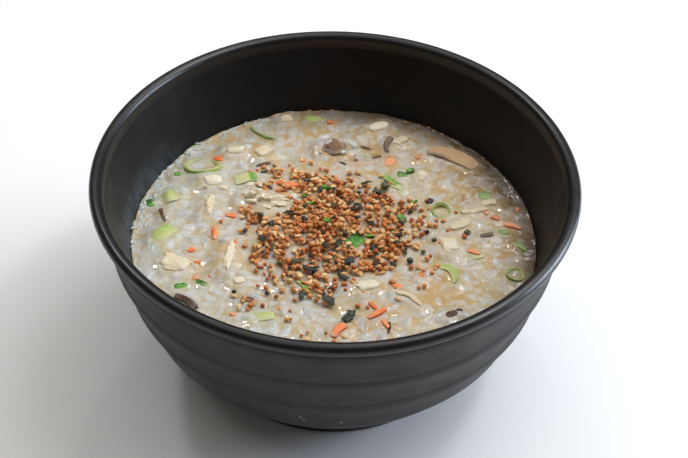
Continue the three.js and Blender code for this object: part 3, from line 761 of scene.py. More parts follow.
def congee_look():
    look = Look("rice_gel")
    gel, side = gel_color_and_shade(look)
    cloud = look.noise(3.4, 4, 0.6, 0.6)
    white = look.mix(look.range(cloud, 0.35, 0.7), (187, 189, 186), (205, 207, 205))
    # Partly painted light and shade: the grains are whiter towards the left, where the lamps reach, and fade
    # into the gel towards the right, which the bowl's wall shades.
    white = look.mix(look.range(side, 0.35, 1, 0.04, 0.34), white, gel)
    pale = look.times(look.range(side, 0, 0.55, 0.14, 0.04), look.range(cloud, 0.3, 0.62))
    cream = look.mix(look.range(look.mark("grain"), 0.02, 0.85), look.mix(pale, gel, white), white)
    for tint, color in TINTS.items():
        cream = look.mix(look.mark(tint), cream, color)
    return look.finish(edge_shade(look, cream), look.range(look.noise(5), 0.35, 0.65, 0.4, 0.55),
                       look.bump(look.noise(1.4, 3, 0.6, 0.6), 0.08, 0.3), (1.0, (1, 0.85, 0.65), 0.8),
                       **wet_coat(look))


def rice_look():
    look = Look("swollen_rice")
    chalk = look.noise(2.2, 3, 0.6)
    white = look.mix(look.mark("tone"), (190, 191, 185), (207, 209, 205))
    shade = look.mix(look.spread(chalk, 0, 0.18), white, gel_color_and_shade(look)[0])
    return look.finish(edge_shade(look, veiled(look, shade, 0.6)), look.spread(chalk, 0.4, 0.55),
                       look.bump(chalk, 0.1, 0.4), (0.3, (1, 0.85, 0.65), 0.6), **wet_coat(look))


def grain_look(name, stops, size_mm, gloss, depth_mm=0.12, coat=0.35):
    """A small dry or wetted grain: a ramp over each grain's own tone, mottled and pitted."""
    look = Look(name)
    tone = look.plus(look.mark("tone"), look.spread(look.noise(size_mm), -0.16, 0.16))
    return look.finish(look.ramp(tone, stops), look.spread(look.noise(size_mm * 2, 2), gloss, gloss + 0.22),
                       look.bump(look.noise(size_mm * 0.6), depth_mm, 0.6), (0.45, (1, 0.6, 0.35), 0.9),
                       Coat_Weight=coat, Coat_Roughness=0.12)


# How each slot's toppings look: the material's name, the noise of its fibres, how far that shifts
# the mark, the colours by mark, roughness, bump, scatter, and its index, coat and coat's roughness.
FOOD_LOOKS = {
    "scallion": ("spring_onion", (1.2, 3, 0.6, 0.3), 0.12, [
        (0, (204, 203, 160)), (0.3, (190, 197, 128)), (0.55, (160, 182, 90)), (0.8, (92, 164, 54)),
        (1, (18, 60, 14))], (0.34, 0.5), (0.14, 0.5), (0.4, (0.7, 1, 0.35), 0.8), (1.34, 0.15, 0.14)),
    "carrot": ("carrot", (0.9, 3, 0.6), 0.2, [
        (0, (226, 102, 40)), (0.5, (238, 134, 70)), (1, (240, 162, 110))],
        (0.22, 0.4), (0.12, 0.5), (0.4, (1, 0.5, 0.2), 0.8), (1.36, 0.3, 0.14)),
    "shiitake": ("shiitake", (0.8, 4, 0.65), 0.18, [
        (0, (194, 150, 100)), (0.35, (150, 108, 74)), (0.62, (94, 62, 48)), (1, (44, 25, 20))],
        (0.4, 0.6), (0.2, 0.6), (0.12, (1, 0.6, 0.4), 1.0), (1.3, 0.12, 0.16)),
    "chicken": ("chicken", (0.8, 4, 0.62, 0.4), 0.25, [(0, (212, 192, 152)), (1, (229, 219, 194))],
        (0.34, 0.52), (0.08, 0.4), (0.6, (1, 0.75, 0.5), 1.2), (1.36, 0.2, 0.18)),
}


def food_look(slot):
    name, grain, shift, stops, rough, bump, scatter, (ior, coat, coat_rough) = FOOD_LOOKS[slot]
    look = Look(name)
    fibre = look.noise(*grain)
    meat = slot == "chicken"
    uneven = look.spread(look.noise(4.5, 2) if meat else fibre, -shift, shift)
    color = look.ramp(look.plus(look.mark(KINDS[slot][0]), uneven), stops)
    if meat:
        color = look.mix(look.range(fibre, 0.42, 0.75, 0, 0.6), color, (230, 224, 211))
    return look.finish(veiled(look, color), look.spread(fibre, *rough), look.bump(fibre, *bump), scatter,
                       IOR=ior, Coat_Weight=coat, Coat_Roughness=coat_rough)


def broth_look():
    """Clear starchy liquid, for bubbles."""
    look = Look("clear_broth")
    cloud = look.noise(4)
    return look.finish(look.mix(cloud, (226, 222, 218), (240, 240, 242)), look.spread(cloud, 0.03, 0.1),
                       Transmission_Weight=1.0, IOR=1.34)


def wet_film_look(name, tint):
    look = Look(name)
    cloud = look.noise(1.5)
    return look.finish(look.mix(look.spread(cloud, 0, 1), tint, [c * 1.14 for c in tint]),
                       look.spread(cloud, 0.1, 0.22), IOR=1.38, Coat_Weight=1.0, Coat_Roughness=0.05)


# ---- Bowl piece ----


def bezier(points, steps):
    """Points along a Bezier curve of any order, without its last one."""
    order = len(points) - 1
    curve = []
    for step in range(steps):
        t = step / steps
        weights = [math.comb(order, i) * t**i * (1 - t) ** (order - i) for i in range(order + 1)]
        curve.append(tuple(sum(w * p[axis] for w, p in zip(weights, points)) for axis in range(2)))
    return curve


def rounded_corner(before, corner, after, reach, steps=5):
    """A corner of the profile cut back by reach along both of its sides and curved."""
    ends = []
    for other in (before, after):
        away = Vector(other) - Vector(corner)
        ends.append(tuple(Vector(corner) + away.normalized() * min(reach, away.length / 2)))
    return [*bezier([ends[0], corner, ends[1]], steps), ends[1]]


def foot_points():
    corners = [(0, FOOT_RECESS), (FOOT_INNER_RADIUS, FOOT_RECESS), (FOOT_INNER_RADIUS, 0), (FOOT_RADIUS, 0),
               (FOOT_RADIUS + FOOT_FLARE, FOOT_HEIGHT)]
    points = [(radius, FOOT_RECESS) for radius in (0, *RECESS_ROWS)]
    for before, corner, after in zip(corners, corners[1:], corners[2:]):
        points += rounded_corner(before, corner, after, FOOT_ROUND)
    return points


def band_points(lower, upper):
    points = []
    for step in range(BAND_STEPS):
        share = (1 - math.cos(math.pi * step / BAND_STEPS)) / 2
        bulge = BAND_BULGE * math.sin(math.pi * share**BAND_SKEW)
        radius, drop = (low + (high - low) * share for low, high in zip(lower, upper))
        points.append((radius + bulge, LIP_Z - drop))
    return points


def lip_points():
    start, end = LIP_ARC_DEG
    arc = [around(start + (end - start) * step / LIP_STEPS, LIP_RADIUS) for step in range(LIP_STEPS + 1)]
    return [LIP_GROOVE, *((RIM_RADIUS - LIP_RADIUS + across, LIP_Z + up) for across, up in arc)]


def hollow_points():
    """The hollow's section below the porridge's level, down to its middle."""
    return bezier([(0, FLOOR_Z), *INNER_PULLS, (LEVEL_RADIUS, LEVEL_Z)], INNER_STEPS)[::-1]


def bowl_profile():
    """The bowl's section from the middle of its underside, over the lip, to the hollow's floor, as
    (radius, height, finish) rows."""
    joints = [(radius, LIP_Z - drop) for radius, drop in BAND_JOINTS]
    outside = foot_points()
    outside += bezier([(FOOT_RADIUS + FOOT_FLARE, FOOT_HEIGHT), UNDERSIDE_PULL, joints[0]], UNDERSIDE_STEPS)
    for lower, upper in zip(BAND_JOINTS, BAND_JOINTS[1:]):
        outside += band_points(lower, upper)
    outside.append(joints[-1])
    level = (LEVEL_RADIUS, LEVEL_Z)
    inside = [*bezier([WALL_TOP, level], WALL_STEPS), level, *hollow_points()]
    sections = ((outside, MATTE), (lip_points(), GLOSSY), (inside, SATIN))
    return [(*point, finish) for points, finish in sections for point in points]


def lathe(rows, sides):
    """Turns (radius, height) rows round the Z axis. Rows at radius 0 become single points."""
    points, rings = [], []
    for radius, height in rows:
        count = sides if radius else 1
        rings.append(list(range(len(points), len(points) + count)) * (sides // count))
        points += [(*around(360 * side / sides, radius), height) for side in range(count)]
    return points, stitched(rings)


def uneven_bowl(points, random):
    """Moves the lathe's points by the small waves that turning by hand leaves."""
    points = np.array(points)
    radius = np.hypot(points[:, 0], points[:, 1])
    angle = np.arctan2(points[:, 1], points[:, 0])
    shift = 0
    for turns in LATHE_WAVES:
        shift = shift + LATHE_WAVE * np.sin(turns * angle + random.uniform(0, 6) + points[:, 2] / 11)
    factor = np.where(points[:, 2] > 0.5, 1 + shift / np.maximum(radius, FOOT_RADIUS), 1)
    points[:, :2] *= factor[:, None]
    return points


def make_bowl(random):
    rows = bowl_profile()
    points, faces = lathe([row[:2] for row in rows], LATHE_SIDES)
    points = uneven_bowl(points, random)
    bowl = mesh_object("bowl_glazed", points, faces, {}, matte_glaze_look(), "bowl", "bowl")
    bowl.data.materials.append(lip_glaze_look())
    bowl.data.materials.append(satin_glaze_look())
    finishes = [row[2] for row in rows[:-1] for _ in range(LATHE_SIDES)]
    bowl.data.polygons.foreach_set("material_index", finishes)


# ---- Porridge pieces ----


def disc_points(cells):
    """An even grid over the porridge's disc: the concentric map of a square."""
    line = np.linspace(-1, 1, cells + 1)
    a, b = np.meshgrid(line, line, indexing="ij")
    wide = np.abs(a) > np.abs(b)
    quarter = math.pi / 4
    up, down = quarter * b / np.where(a == 0, 1, a), quarter * a / np.where(b == 0, 1, b)
    angle = np.where(wide, up, 2 * quarter - down)
    radius = np.where(wide, a, b) * SURFACE_RADIUS
    return radius * np.cos(angle), radius * np.sin(angle)


def disc_rim(cells):
    """Grid numbers round the square's edge, anticlockwise from its corner at -1, -1."""
    row, steps = cells + 1, range(cells)
    return ([i * row for i in steps] + [cells * row + i for i in steps]
            + [(cells - i) * row + cells for i in steps] + [cells - i for i in steps])


class Skin:
    """The porridge's surface over an even grid: how far it rises, and its whiteness and tints."""

    def __init__(self):
        self.x, self.y = (grid.ravel() for grid in disc_points(SURFACE_CELLS))
        self.rise, self.climb, self.white = (np.zeros_like(self.x) for _ in range(3))
        self.tints = {tint: np.zeros_like(self.x) for tint in TINTS}

    def near(self, low, high, reach):
        """Which grid points lie less than reach outside a box in plan."""
        inside = (self.x > low[0] - reach) & (self.x < high[0] + reach)
        return inside & (self.y > low[1] - reach) & (self.y < high[1] + reach)

    def add_lump(self, centre, turn_deg, size, top, pale, fullness=0.75):
        """A soft oval lump, such as a grain just under the film."""
        near = self.near(centre, centre, max(size) / 2)
        turn = math.radians(turn_deg)
        dx, dy = self.x[near] - centre[0], self.y[near] - centre[1]
        along, side = dx * math.cos(turn) + dy * math.sin(turn), dy * math.cos(turn) - dx * math.sin(turn)
        inside = np.clip(1 - (2 * along / size[0]) ** 2 - (2 * side / size[1]) ** 2, 0, 1)
        self.rise[near] = np.maximum(self.rise[near], top * inside**fullness)
        self.white[near] = np.where(inside > 0, pale * inside**0.4, self.white[near])

    def add_grains(self, rises, whites, random):
        for _ in range(GRAIN_COUNT):
            centre = disc_place(random, SURFACE_RADIUS - GRAIN_EDGE)
            if random.uniform(0, 1) >= clear_share(*centre):
                size = random.uniform(*RICE_LENGTH), random.uniform(*RICE_WIDTH) * RICE_SWELL
                top, pale = random.uniform(*rises), random.uniform(*whites)
                self.add_lump(centre, random.uniform(0, 180), size, top, pale)

    def soften(self):
        """Blurs the grains' relief a little, as the gel does."""
        grid = self.rise.reshape(SURFACE_CELLS + 1, SURFACE_CELLS + 1)
        for _ in range(SOFTENING):
            ends = np.pad(grid, ((1, 1), (0, 0)), mode="edge")
            grid = ((ends[:-2] + ends[2:]) / 2 + grid).T / 2
        self.rise = grid.ravel()

    def lap_against(self, points, show, tint):
        """Lets the film climb a topping along its outline, up to show below its top, and take its tint."""
        high = points.max(axis=0)
        near = self.near(points.min(axis=0), high, LAP_REACH)
        x, y = self.x[near], self.y[near]
        outline = points[::3]
        squares = (x[:, None] - outline[:, 0]) ** 2 + (y[:, None] - outline[:, 1]) ** 2
        out = np.maximum(np.sqrt(squares.min(axis=1)) - 0.5, 0)
        level = np.maximum(high[2] - show - LAP_DROP - surface_z(x, y) + SKIN_DEPTH, 0)
        climb = level * np.exp(-((out / (LAP_WIDTH[0] + LAP_WIDTH[1] * level)) ** 2))
        self.climb[near] = np.maximum(self.climb[near], climb)
        stain = TINT_SHARE * np.exp(-((out / TINT_REACH) ** 2))
        self.tints[tint][near] = np.maximum(self.tints[tint][near], stain)

    def settle(self, random):
        """Works out the surface's height and readies it for height()."""
        self.z = surface_z(self.x, self.y) - SKIN_DEPTH + self.rise + self.climb
        self.z += ripples(self.x, self.y, *RIPPLES, random)
        edge = SURFACE_RADIUS - np.hypot(self.x, self.y)
        ragged = 1 + ripples(self.x, self.y, *MENISCUS["ragged"], random)
        self.z += MENISCUS["height"] * ragged * np.exp(-edge / MENISCUS["width"])
        self.tree = KDTree(len(self.x))
        for i, (x, y) in enumerate(zip(self.x, self.y)):
            self.tree.insert((x, y, 0), i)
        self.tree.balance()

    def height(self, x, y):
        return float(self.z[self.tree.find((x, y, 0))[1]])


def make_skin(random, grains, toppings, scraps):
    skin = Skin()
    for rises, whites in GRAIN_LAYERS:
        skin.add_grains(rises, whites, random)
    for lobe in CLEAR_LOBES:
        skin.add_lump(*lobe, fullness=0.5)
    for place, turn, length, width, lift in grains:
        size = length + RICE_FILM, width + RICE_FILM
        skin.add_lump(place, turn, size, 0.5 * width + lift + SKIN_DEPTH, 1)
    skin.soften()
    for node, (points, *_) in toppings.items():
        skin.lap_against(points, TOPPINGS[node]["show"], TOPPINGS[node]["tint"])
    for name, (slot, *_) in SCRAPS.items():
        for points, *_ in scraps[name]:
            skin.lap_against(points, SCRAP_SHOW, KINDS[slot][1])
    stain = HEAP_STAIN["share"] * np.exp(-(np.hypot(skin.x, skin.y) / HEAP_STAIN["reach"]) ** 2)
    skin.tints["orange"] = np.maximum(skin.tints["orange"], stain)
    skin.settle(random)
    return skin


def make_porridge(skin):
    """The skin, and a side from its edge down the bowl's hollow to the floor."""
    row = SURFACE_CELLS + 1
    index = np.arange(row**2).reshape(row, row)
    quads = np.stack([index[:-1, :-1], index[1:, :-1], index[1:, 1:], index[:-1, 1:]], axis=-1).reshape(-1, 4)
    points = np.stack([skin.x, skin.y, skin.z], axis=1).tolist()
    rim = disc_rim(SURFACE_CELLS)
    angles = [math.degrees(math.atan2(points[i][1], points[i][0])) for i in rim]
    rings = [rim]
    for radius, height in hollow_points()[:-1:2]:
        rings.append(list(range(len(points), len(points) + len(rim))))
        points += [(*around(angle, max(radius - GAP, 1)), height + GAP) for angle in angles]
    rings.append([len(points)] * len(rim))
    points.append((0, 0, FLOOR_Z + GAP))
    marks = {mark: np.pad(values, (0, len(points) - len(values)))
             for mark, values in (("grain", skin.white), *skin.tints.items())}
    faces = quads.tolist() + stitched(rings[::-1])
    mesh_object("congee_gel", points, faces, marks, congee_look(), "congee", "congee")


def rice_grain(length, width, random):
    """One swollen grain: an egg-shaped, bent ball with a split along it, lying along X."""
    points, unit, quads = egg((length, width, width * random.uniform(0.75, 0.95)))
    fat = 1 + 0.22 * random.uniform(-1, 1) * unit[:, 0]
    split = 1 - 0.16 * random.uniform(0, 1) * np.exp(-((unit[:, 1] / 0.3) ** 2))
    points[:, 1] *= fat
    points[:, 2] *= fat * split
    return bend_points(points, 1, random.uniform(-45, 45), length), quads


def loose_grains(random, boxes):
    """Grains that lie on top, clear of the toppings: place, turn, length, width and lift."""
    grains = []
    while len(grains) < RICE_GRAINS:
        x, y = disc_place(random, SURFACE_RADIUS - RICE_EDGE)
        if is_free(x, y, boxes, RICE_CLEARANCE):
            grains.append(((x, y), *draws(random, ANY_TURN, RICE_LENGTH, RICE_WIDTH, RICE_LIFT)))
    return grains


def make_rice(random, grains):
    parts = []
    for (x, y), turn, length, width, lift in grains + LAPPED_GRAINS:
        points, quads = rice_grain(length, width, random)
        level = float(surface_z(x, y))
        points = turned(points, 0, random.uniform(-10, 10), turn) + (x, y, level + lift)
        sunk = 1 - smooth_step(points[:, 2] - level, *RICE_VEIL)
        parts.append((points, quads, {"tone": random.uniform(0, 1), "sunk": sunk}))
    mesh_object("rice_grains", *joined(parts), rice_look(), "congee")


# ---- Sprinkle pieces ----


class Heap:
    """The height of what lies on the porridge so far, on a fine square grid."""

    def __init__(self):
        line = np.arange(-HEAP_HALF, HEAP_HALF + HEAP_CELL, HEAP_CELL)
        self.x, self.y = np.meshgrid(line, line, indexing="ij")
        self.top = surface_z(self.x, self.y) + HEAP_BASE

    def rest(self, x, y, radius, height, sink):
        """The middle height of a piece dropped at a place, which then belongs to the heap."""
        ends = [[int(round((at + way * radius + HEAP_HALF) / HEAP_CELL)) for way in (-1, 1)] for at in (x, y)]
        window = tuple(slice(first, last + 1) for first, last in ends)
        away = np.hypot(self.x[window] - x, self.y[window] - y) / radius
        under = away < 1
        top = self.top[window]
        middle = float(np.quantile(top[under], HEAP_FOOTING)) + height * (0.5 - sink)
        cap = middle + height / 2 * np.sqrt(np.clip(1 - away**2, 0, 1))
        self.top[window] = np.where(under, np.maximum(top, cap), top)
        return middle

    def drop(self, piece, place, sink, marks):
        """A piece laid on the heap, as a part for joined()."""
        points, quads, size = piece
        z = self.rest(*place, size * HEAP_REACH, float(np.ptp(points[:, 2])), sink)
        return points + (*place, z), quads, marks


def field_place(random):
    """A place in the sprinkle: thick in the middle, thin and ragged at its edge."""
    field = STRAY_FIELD if random.uniform(0, 1) < STRAY_SHARE else HEAP_FIELD
    radius = field["reach"] * random.uniform(0, 1) ** field["crowding"]
    angle = random.uniform(0, 2 * math.pi)
    radius *= 1 + 0.12 * math.sin(3 * angle + 1) + 0.08 * math.sin(7 * angle)
    return field["x"] + radius * math.cos(angle), field["y"] + radius * math.sin(angle)


def granule(random):
    size = random.uniform(*GRANULE_SIZE)
    points, unit, quads = egg((size, size, size))
    lumps = 1 + 0.1 * np.sin(unit @ random.normal(0, 3, 3) + random.uniform(0, 6))
    dents = 1 + 0.06 * np.sin(unit @ random.normal(0, 6, 3))
    points *= (lumps * dents)[:, None]
    return points * (1, *draws(random, (0.8, 1), (0.8, 1))), quads, size


def sesame(random):
    size = draws(random, *SESAME_SIZE)
    points, unit, quads = egg(size, 5)
    pointed = 1 - 0.38 * np.clip(unit[:, 0], 0, 1) ** 1.5
    ridge = 1 + 0.16 * np.exp(-((np.abs(unit[:, 1]) - 0.62) / 0.16) ** 2)
    points[:, 1] *= pointed
    points[:, 2] *= pointed * ridge
    return points, quads, size[0]


def seaweed(random, length=None, width=None):
    """A torn, curled flake with some thickness."""
    unit, quads = cube_shell((8, 6, 1))
    length = length or random.uniform(*FLAKE_LENGTH)
    width = width or random.uniform(*FLAKE_WIDTH)
    points = unit * (length / 2, width / 2, FLAKE_DEPTH / 2)
    points[:, 0] *= 1 + 0.3 * random.uniform(-1, 1) * unit[:, 1]
    points[:, 1] *= 1 + 0.3 * random.uniform(-1, 1) * unit[:, 0]
    points[:, 1] += 0.12 * np.sin(3 * unit[:, 0] + random.uniform(0, 6))
    points[:, 2] += 0.2 * np.sin(unit[:, 0] * 2.6 + random.uniform(0, 6))
    points[:, 2] += 0.16 * np.sin(unit[:, 1] * 2.4 + random.uniform(0, 6))
    return points, quads, length


def pellet(random, width=2.2):
    points, unit, quads = egg((width, *(width * share for share in draws(random, (0.85, 1), (0.75, 0.95)))))
    points *= (1 + 0.12 * np.sin(unit @ random.normal(0, 4, 3)))[:, None]
    return points, quads, width


def leaf_bit(random, length, width):
    spec = {"size": (length, width, 1.1), "taper": 0.3, "arch": random.uniform(10, 50)}
    return strip(spec, (8, 5, 2), 0.3, random, uneven=0.16)


# Each kind of the sprinkle: its maker, slot, count, tilt in degrees and the share of it that sinks,
# then its material's name, colours by tone, size of its mottling and gloss, and what else is its own.
SPRINKLES = {
    "toasted_granules": ((granule, "sprinkle", 760, 40, 0.16), ("toasted_granule", [
        (0, (168, 86, 36)), (0.35, (202, 118, 54)), (0.75, (218, 142, 74)), (1, (230, 174, 108))],
        1.2, 0.36), {"coat": 0.2}),
    "sesame_seeds": ((sesame, "sprinkle", 380, 24, 0.14), ("sesame_seed", [
        (0, (188, 124, 62)), (0.45, (216, 164, 100)), (1, (232, 198, 144))], 1.5, 0.32), {}),
    "seaweed_flakes": ((seaweed, "seaweed", 70, 20, 0.05), ("seaweed_flake", [
        (0, (20, 22, 18)), (0.6, (34, 38, 26)), (1, (74, 80, 44))], 1.4, 0.45),
        {"depth_mm": 0.08, "coat": 0.12}),
    "green_pellets": ((pellet, "seaweed", 8, 20, 0.2), ("green_pellet", [
        (0, (30, 34, 18)), (0.6, (50, 56, 26)), (1, (104, 104, 56))], 1.0, 0.4), {}),
}


def make_sprinkle(random, boxes):
    """Drops the kinds of grain in a mixed order, so that they pile up together."""
    heap = Heap()
    parts = {name: [] for name in SPRINKLES}
    order = [name for name, (kind, *_) in SPRINKLES.items() for _ in range(kind[2])]
    for i in random.permutation(len(order)):
        maker, _, _, tilt, sink = SPRINKLES[order[i]][0]
        points, quads, size = maker(random)
        points = turned(points, *draws(random, (-tilt, tilt), (-tilt, tilt), ANY_TURN))
        place = field_place(random)
        tone = {"tone": random.uniform(0, 1)}
        if is_free(*place, boxes, -TOPPING_LAP) or random.uniform(0, 1) < ON_TOPPING_SHARE:
            parts[order[i]].append(heap.drop((points, quads, size), place, sink, tone))
    for x, y, turn, length, width in TOP_FLAKES:
        points, quads, size = seaweed(random, length, width)
        points = turned(points, *draws(random, *FLAKE_TILTS), turn)
        tone = {"tone": random.uniform(0, 1)}
        parts["seaweed_flakes"].append(heap.drop((points, quads, size), (x, y), FLAKE_SINK, tone))
    for x, y, width in TOP_PELLETS:
        tone = {"tone": random.uniform(0, 1)}
        parts["green_pellets"].append(heap.drop(pellet(random, width), (x, y), PELLET_SINK, tone))
    greens = []
    for x, y, turn, length, width in TOP_GREENS:
        points, unit, quads = leaf_bit(random, length, width)
        marks = {"green": 0.85 + 0.15 * unit[:, 0], "sunk": 0.0}
        points = turned(points, 0, 0, turn)
        greens.append(heap.drop((points, quads, length), (x, y), GREEN_SINK, marks))
    mesh_object("leaf_bits", *joined(greens), food_look("scallion"), "scallion")
    for name, ((_, slot, *_), looks, own) in SPRINKLES.items():
        mesh_object(name, *joined(parts[name]), grain_look(*looks, **own), slot)


# ---- Topping pieces ----


def place_on_node(points, node, spec):
    """Turns a topping and puts the middle of its box where the node's is."""
    points = turned(points, spec.get("roll", 0), spec.get("pitch", 0), spec["turn"])
    low, high = node_box(node)
    return points + (low + high) / 2 - (points.min(axis=0) + points.max(axis=0)) / 2


def strip(spec, steps, radius, random, uneven):
    """A rounded, bent strip with slightly uneven faces, and its points' places in its unit box."""
    length = spec["size"][0]
    points, unit, quads = rounded_block(steps, spec["size"], radius)
    points[:, 1:] *= 1 - spec.get("taper", 0) * unit[:, :1] ** 2
    for axis in (1, 2):
        points[:, axis] += uneven * np.sin(unit @ random.normal(0, 2.6, 3) + random.uniform(0, 6))
    points = bend_points(points, 1, spec.get("bend", 0), length)
    return bend_points(points, 2, spec.get("arch", 0), length), unit, quads


def ring(spec, random, around_steps=40, section=12):
    """A cut tube of spring onion: two thin layers, the outer one greener."""
    radius, wall, height = spec["size"]
    layers = ((radius - wall * 0.28, wall * 0.5), (radius - wall * 0.8, wall * 0.42))
    points, quads, outward = [], [], []
    for layer, (middle, thick) in enumerate(layers):
        start = len(points)
        wobble = random.uniform(0, 6)
        for i in range(around_steps):
            angle = 2 * math.pi * i / around_steps
            uneven = 1 + 0.03 * math.sin(3 * angle + wobble)
            top = height / 2 * (1 - 0.12 * layer) + 0.15 * math.sin(2 * angle + wobble)
            here, after = (start + step % around_steps * section for step in (i, i + 1))
            for j in range(section):
                across, up = around(360 * j / section, 1)
                r = (middle + thick * across * 0.5) * uneven
                z = top * math.copysign(abs(up) ** 0.35, up)
                points.append((r * math.cos(angle) * spec.get("oval", 1), r * math.sin(angle), z))
                outward.append((across + 1) / 2 * (1 - 0.5 * layer))
                next_j = (j + 1) % section
                quads.append([here + j, after + j, after + next_j, here + next_j])
    return np.array(points), quads, np.array(outward)


def sunk_share(height, show):
    """How far a topping's points lie below the film, from 0 to 1."""
    return smooth_step(height.max() - height, show * 0.4, show + VEIL_DEPTH)


def shaped(node, spec, points, quads, edge, marks):
    """A topping on its node. Towards its edge it melts into the gel."""
    points = place_on_node(points, node, spec)
    melted = spec.get("melt", MELT) * smooth_step(edge, 0.5, 1)
    return points, quads, {**marks, "sunk": np.maximum(sunk_share(points[:, 2], spec["show"]), melted)}


def shape_scallion(node, spec, random):
    pale, dark = spec["green"]
    if "ring" in spec:
        points, quads, share = ring(spec, random)
        return shaped(node, spec, points, quads, 0, {"green": pale + (dark - pale) * share})
    points, unit, quads = strip(spec, (18, 10, 6), 0.5, random, 0.08 + 0.05 * spec["size"][1])
    share = smooth_step(unit[:, 0] * 0.35 + unit[:, 1] * 0.65, -1, 1)
    if "tip" in spec:
        share = smooth_step(unit[:, 0], 0.15, 0.45)
    edge = np.abs(unit[:, :2]).max(axis=1)
    return shaped(node, spec, points, quads, edge, {"green": pale + (dark - pale) * share})


def shape_carrot(node, spec, random):
    points, unit, quads = strip({"taper": 0.5, **spec}, (18, 6, 6), 0.5, random, 0.12)
    return shaped(node, spec, points, quads, np.abs(unit[:, 0]), {"tone": 0.5 + 0.3 * unit[:, 1]})


def shape_shiitake(node, spec, random):
    points, unit, quads = strip(spec, (26, 10, 6), 0.7, random, spec.get("uneven", 0.22))
    along, across = unit[:, 0], unit[:, 1]
    edge = np.hypot(along, across)
    cap = smooth_step(-across, 0.5, 0.95)
    if "half_cap" in spec:
        cap = smooth_step(-across, 0.3, 0.95) * smooth_step(-along, -0.1, 0.5)
        edge = np.maximum(np.abs(along), across)
    dark, pale = spec["skin"]
    skin = pale + (dark - pale) * cap + 0.3 * smooth_step(np.abs(along), 0.6, 1)
    return shaped(node, spec, points, quads, edge, {"skin": skin})


def shape_all(table, shape, random):
    return {node: shape(node, spec, random) for node, spec in table.items()}


def make_toppings(shapes, slot):
    look = food_look(slot)
    for node, shape in shapes.items():
        mesh_object(node + "_cut", *shape, look, slot, node)


def shape_scraps(random):
    """The scraps of each kind, each bedded in the skin."""
    shapes = {}
    for name, (slot, mark_range, height, lift, rows) in SCRAPS.items():
        parts = []
        for x, y, turn, length, width in rows:
            spec = {bend: random.uniform(*ends) for bend, ends in SCRAP_BENDS.items()}
            spec["size"] = (length, width, height)
            points, unit, quads = strip(spec, (8, 5, 3), 0.4, random, 0.16)
            points = turned(points, *draws(random, *SCRAP_TILTS), turn)
            points = points + (x, y, float(surface_z(x, y)) + lift)
            values = np.clip(random.uniform(*mark_range) + 0.15 * unit[:, 1], 0, 1)
            marks = {KINDS[slot][0]: values, "sunk": sunk_share(points[:, 2], SCRAP_SHOW)}
            parts.append((points, quads, marks))
        shapes[name] = parts
    return shapes


def strand(reach, thick, random):
    points, _, quads = rounded_block((12, 3, 3), (reach, thick, thick * 0.8), thick / 2)
    points[:, 1:] *= (1 - 0.45 * (2 * points[:, :1] / reach) ** 2)
    points = bend_points(points, 1, random.uniform(-26, 26), reach)
    return bend_points(points, 2, random.uniform(-10, 24), reach), quads


def shape_chicken(node, spec, random):
    """A torn piece: a lumpy core with strands of uneven length along it, stretched to its node's box."""
    length, width, height = spec["size"]
    wild = 1 + spec["fray"]
    core_size = np.array(spec["size"]) * spec.get("core", CORE_SHARE)
    core, _, quads = rounded_block((14, 8, 6), core_size, height / 2.2)
    parts = [(core, quads, {})]
    for _ in range(round(length * width / STRAND_COVER) + 4):
        reach = length * random.uniform(0.35, 0.75)
        thick = random.uniform(*STRAND_THICK)
        points, quads = strand(reach, thick, random)
        points = turned(points, random.uniform(-20, 20), random.uniform(-7, 7) * wild,
                        random.uniform(-12, 12) * wild)
        side = random.uniform(-1, 1)
        place = np.array((random.uniform(-1, 1), side, math.sqrt(1 - side * side)))
        room = (length - reach) / 2, (width - thick) / 2, (height - thick) / 2
        parts.append((points + place * room, quads, {}))
    points, quads, _ = joined(parts)
    points[:, 1] *= 1 - spec.get("taper", 0) * np.clip(2 * points[:, 0] / length, -1, 1) ** 2
    points = place_on_node(bend_points(points, 1, spec.get("bend", 0), length), node, spec)
    low, high = node_box(node)
    centre = (low + high) / 2
    return centre + (points - centre) * (high - low) / np.ptp(points, axis=0), quads, {}


def add_spikes(shapes, node, random):
    low, high = node_box(node)
    middle = (low + high) / 2
    parts = [shapes[node]]
    for along, across, reach, thick, lean in SPIKES:
        points, quads = strand(reach, thick, random)
        points = turned(turned(points, 0, -lean, 0) + (along, across, 0), 0, 0, CHICKENS[node]["turn"])
        parts.append((points + (*middle[:2], high[2] + SPIKE_LIFT), quads, {}))
    shapes[node] = joined(parts)


def melt_together(piece):
    """Joins a piece's overlapping strands into one skin."""
    remesh = piece.modifiers.new("skin", "REMESH")
    remesh.mode = "VOXEL"
    remesh.voxel_size = MEAT_VOXEL * MM
    remesh.use_smooth_shade = True
    smooth = piece.modifiers.new("soften", "SMOOTH")
    smooth.factor, smooth.iterations = MEAT_SMOOTHING
    evaluated = piece.evaluated_get(bpy.context.evaluated_depsgraph_get())
    mesh = bpy.data.meshes.new_from_object(evaluated)
    piece.modifiers.clear()
    piece.data = mesh


def roughen(mesh, depth, length, random, count=14):
    """Moves a mesh's points along their normals by a sum of waves, and gives them in millimetres."""
    points, normals = (np.empty(len(mesh.vertices) * 3) for _ in range(2))
    mesh.vertices.foreach_get("co", points)
    mesh.vertices.foreach_get("normal", normals)
    points, normals = points.reshape(-1, 3), normals.reshape(-1, 3)
    moved = 0
    for _ in range(count):
        direction = random.normal(0, 1, 3)
        direction *= 2 * math.pi / (length * MM * random.uniform(0.6, 1.6) * np.linalg.norm(direction))
        moved = moved + np.sin(points @ direction + random.uniform(0, 6))
    points += normals * (depth * MM * moved / math.sqrt(count))[:, None]
    mesh.vertices.foreach_set("co", points.ravel())
    mesh.update()
    return points / MM


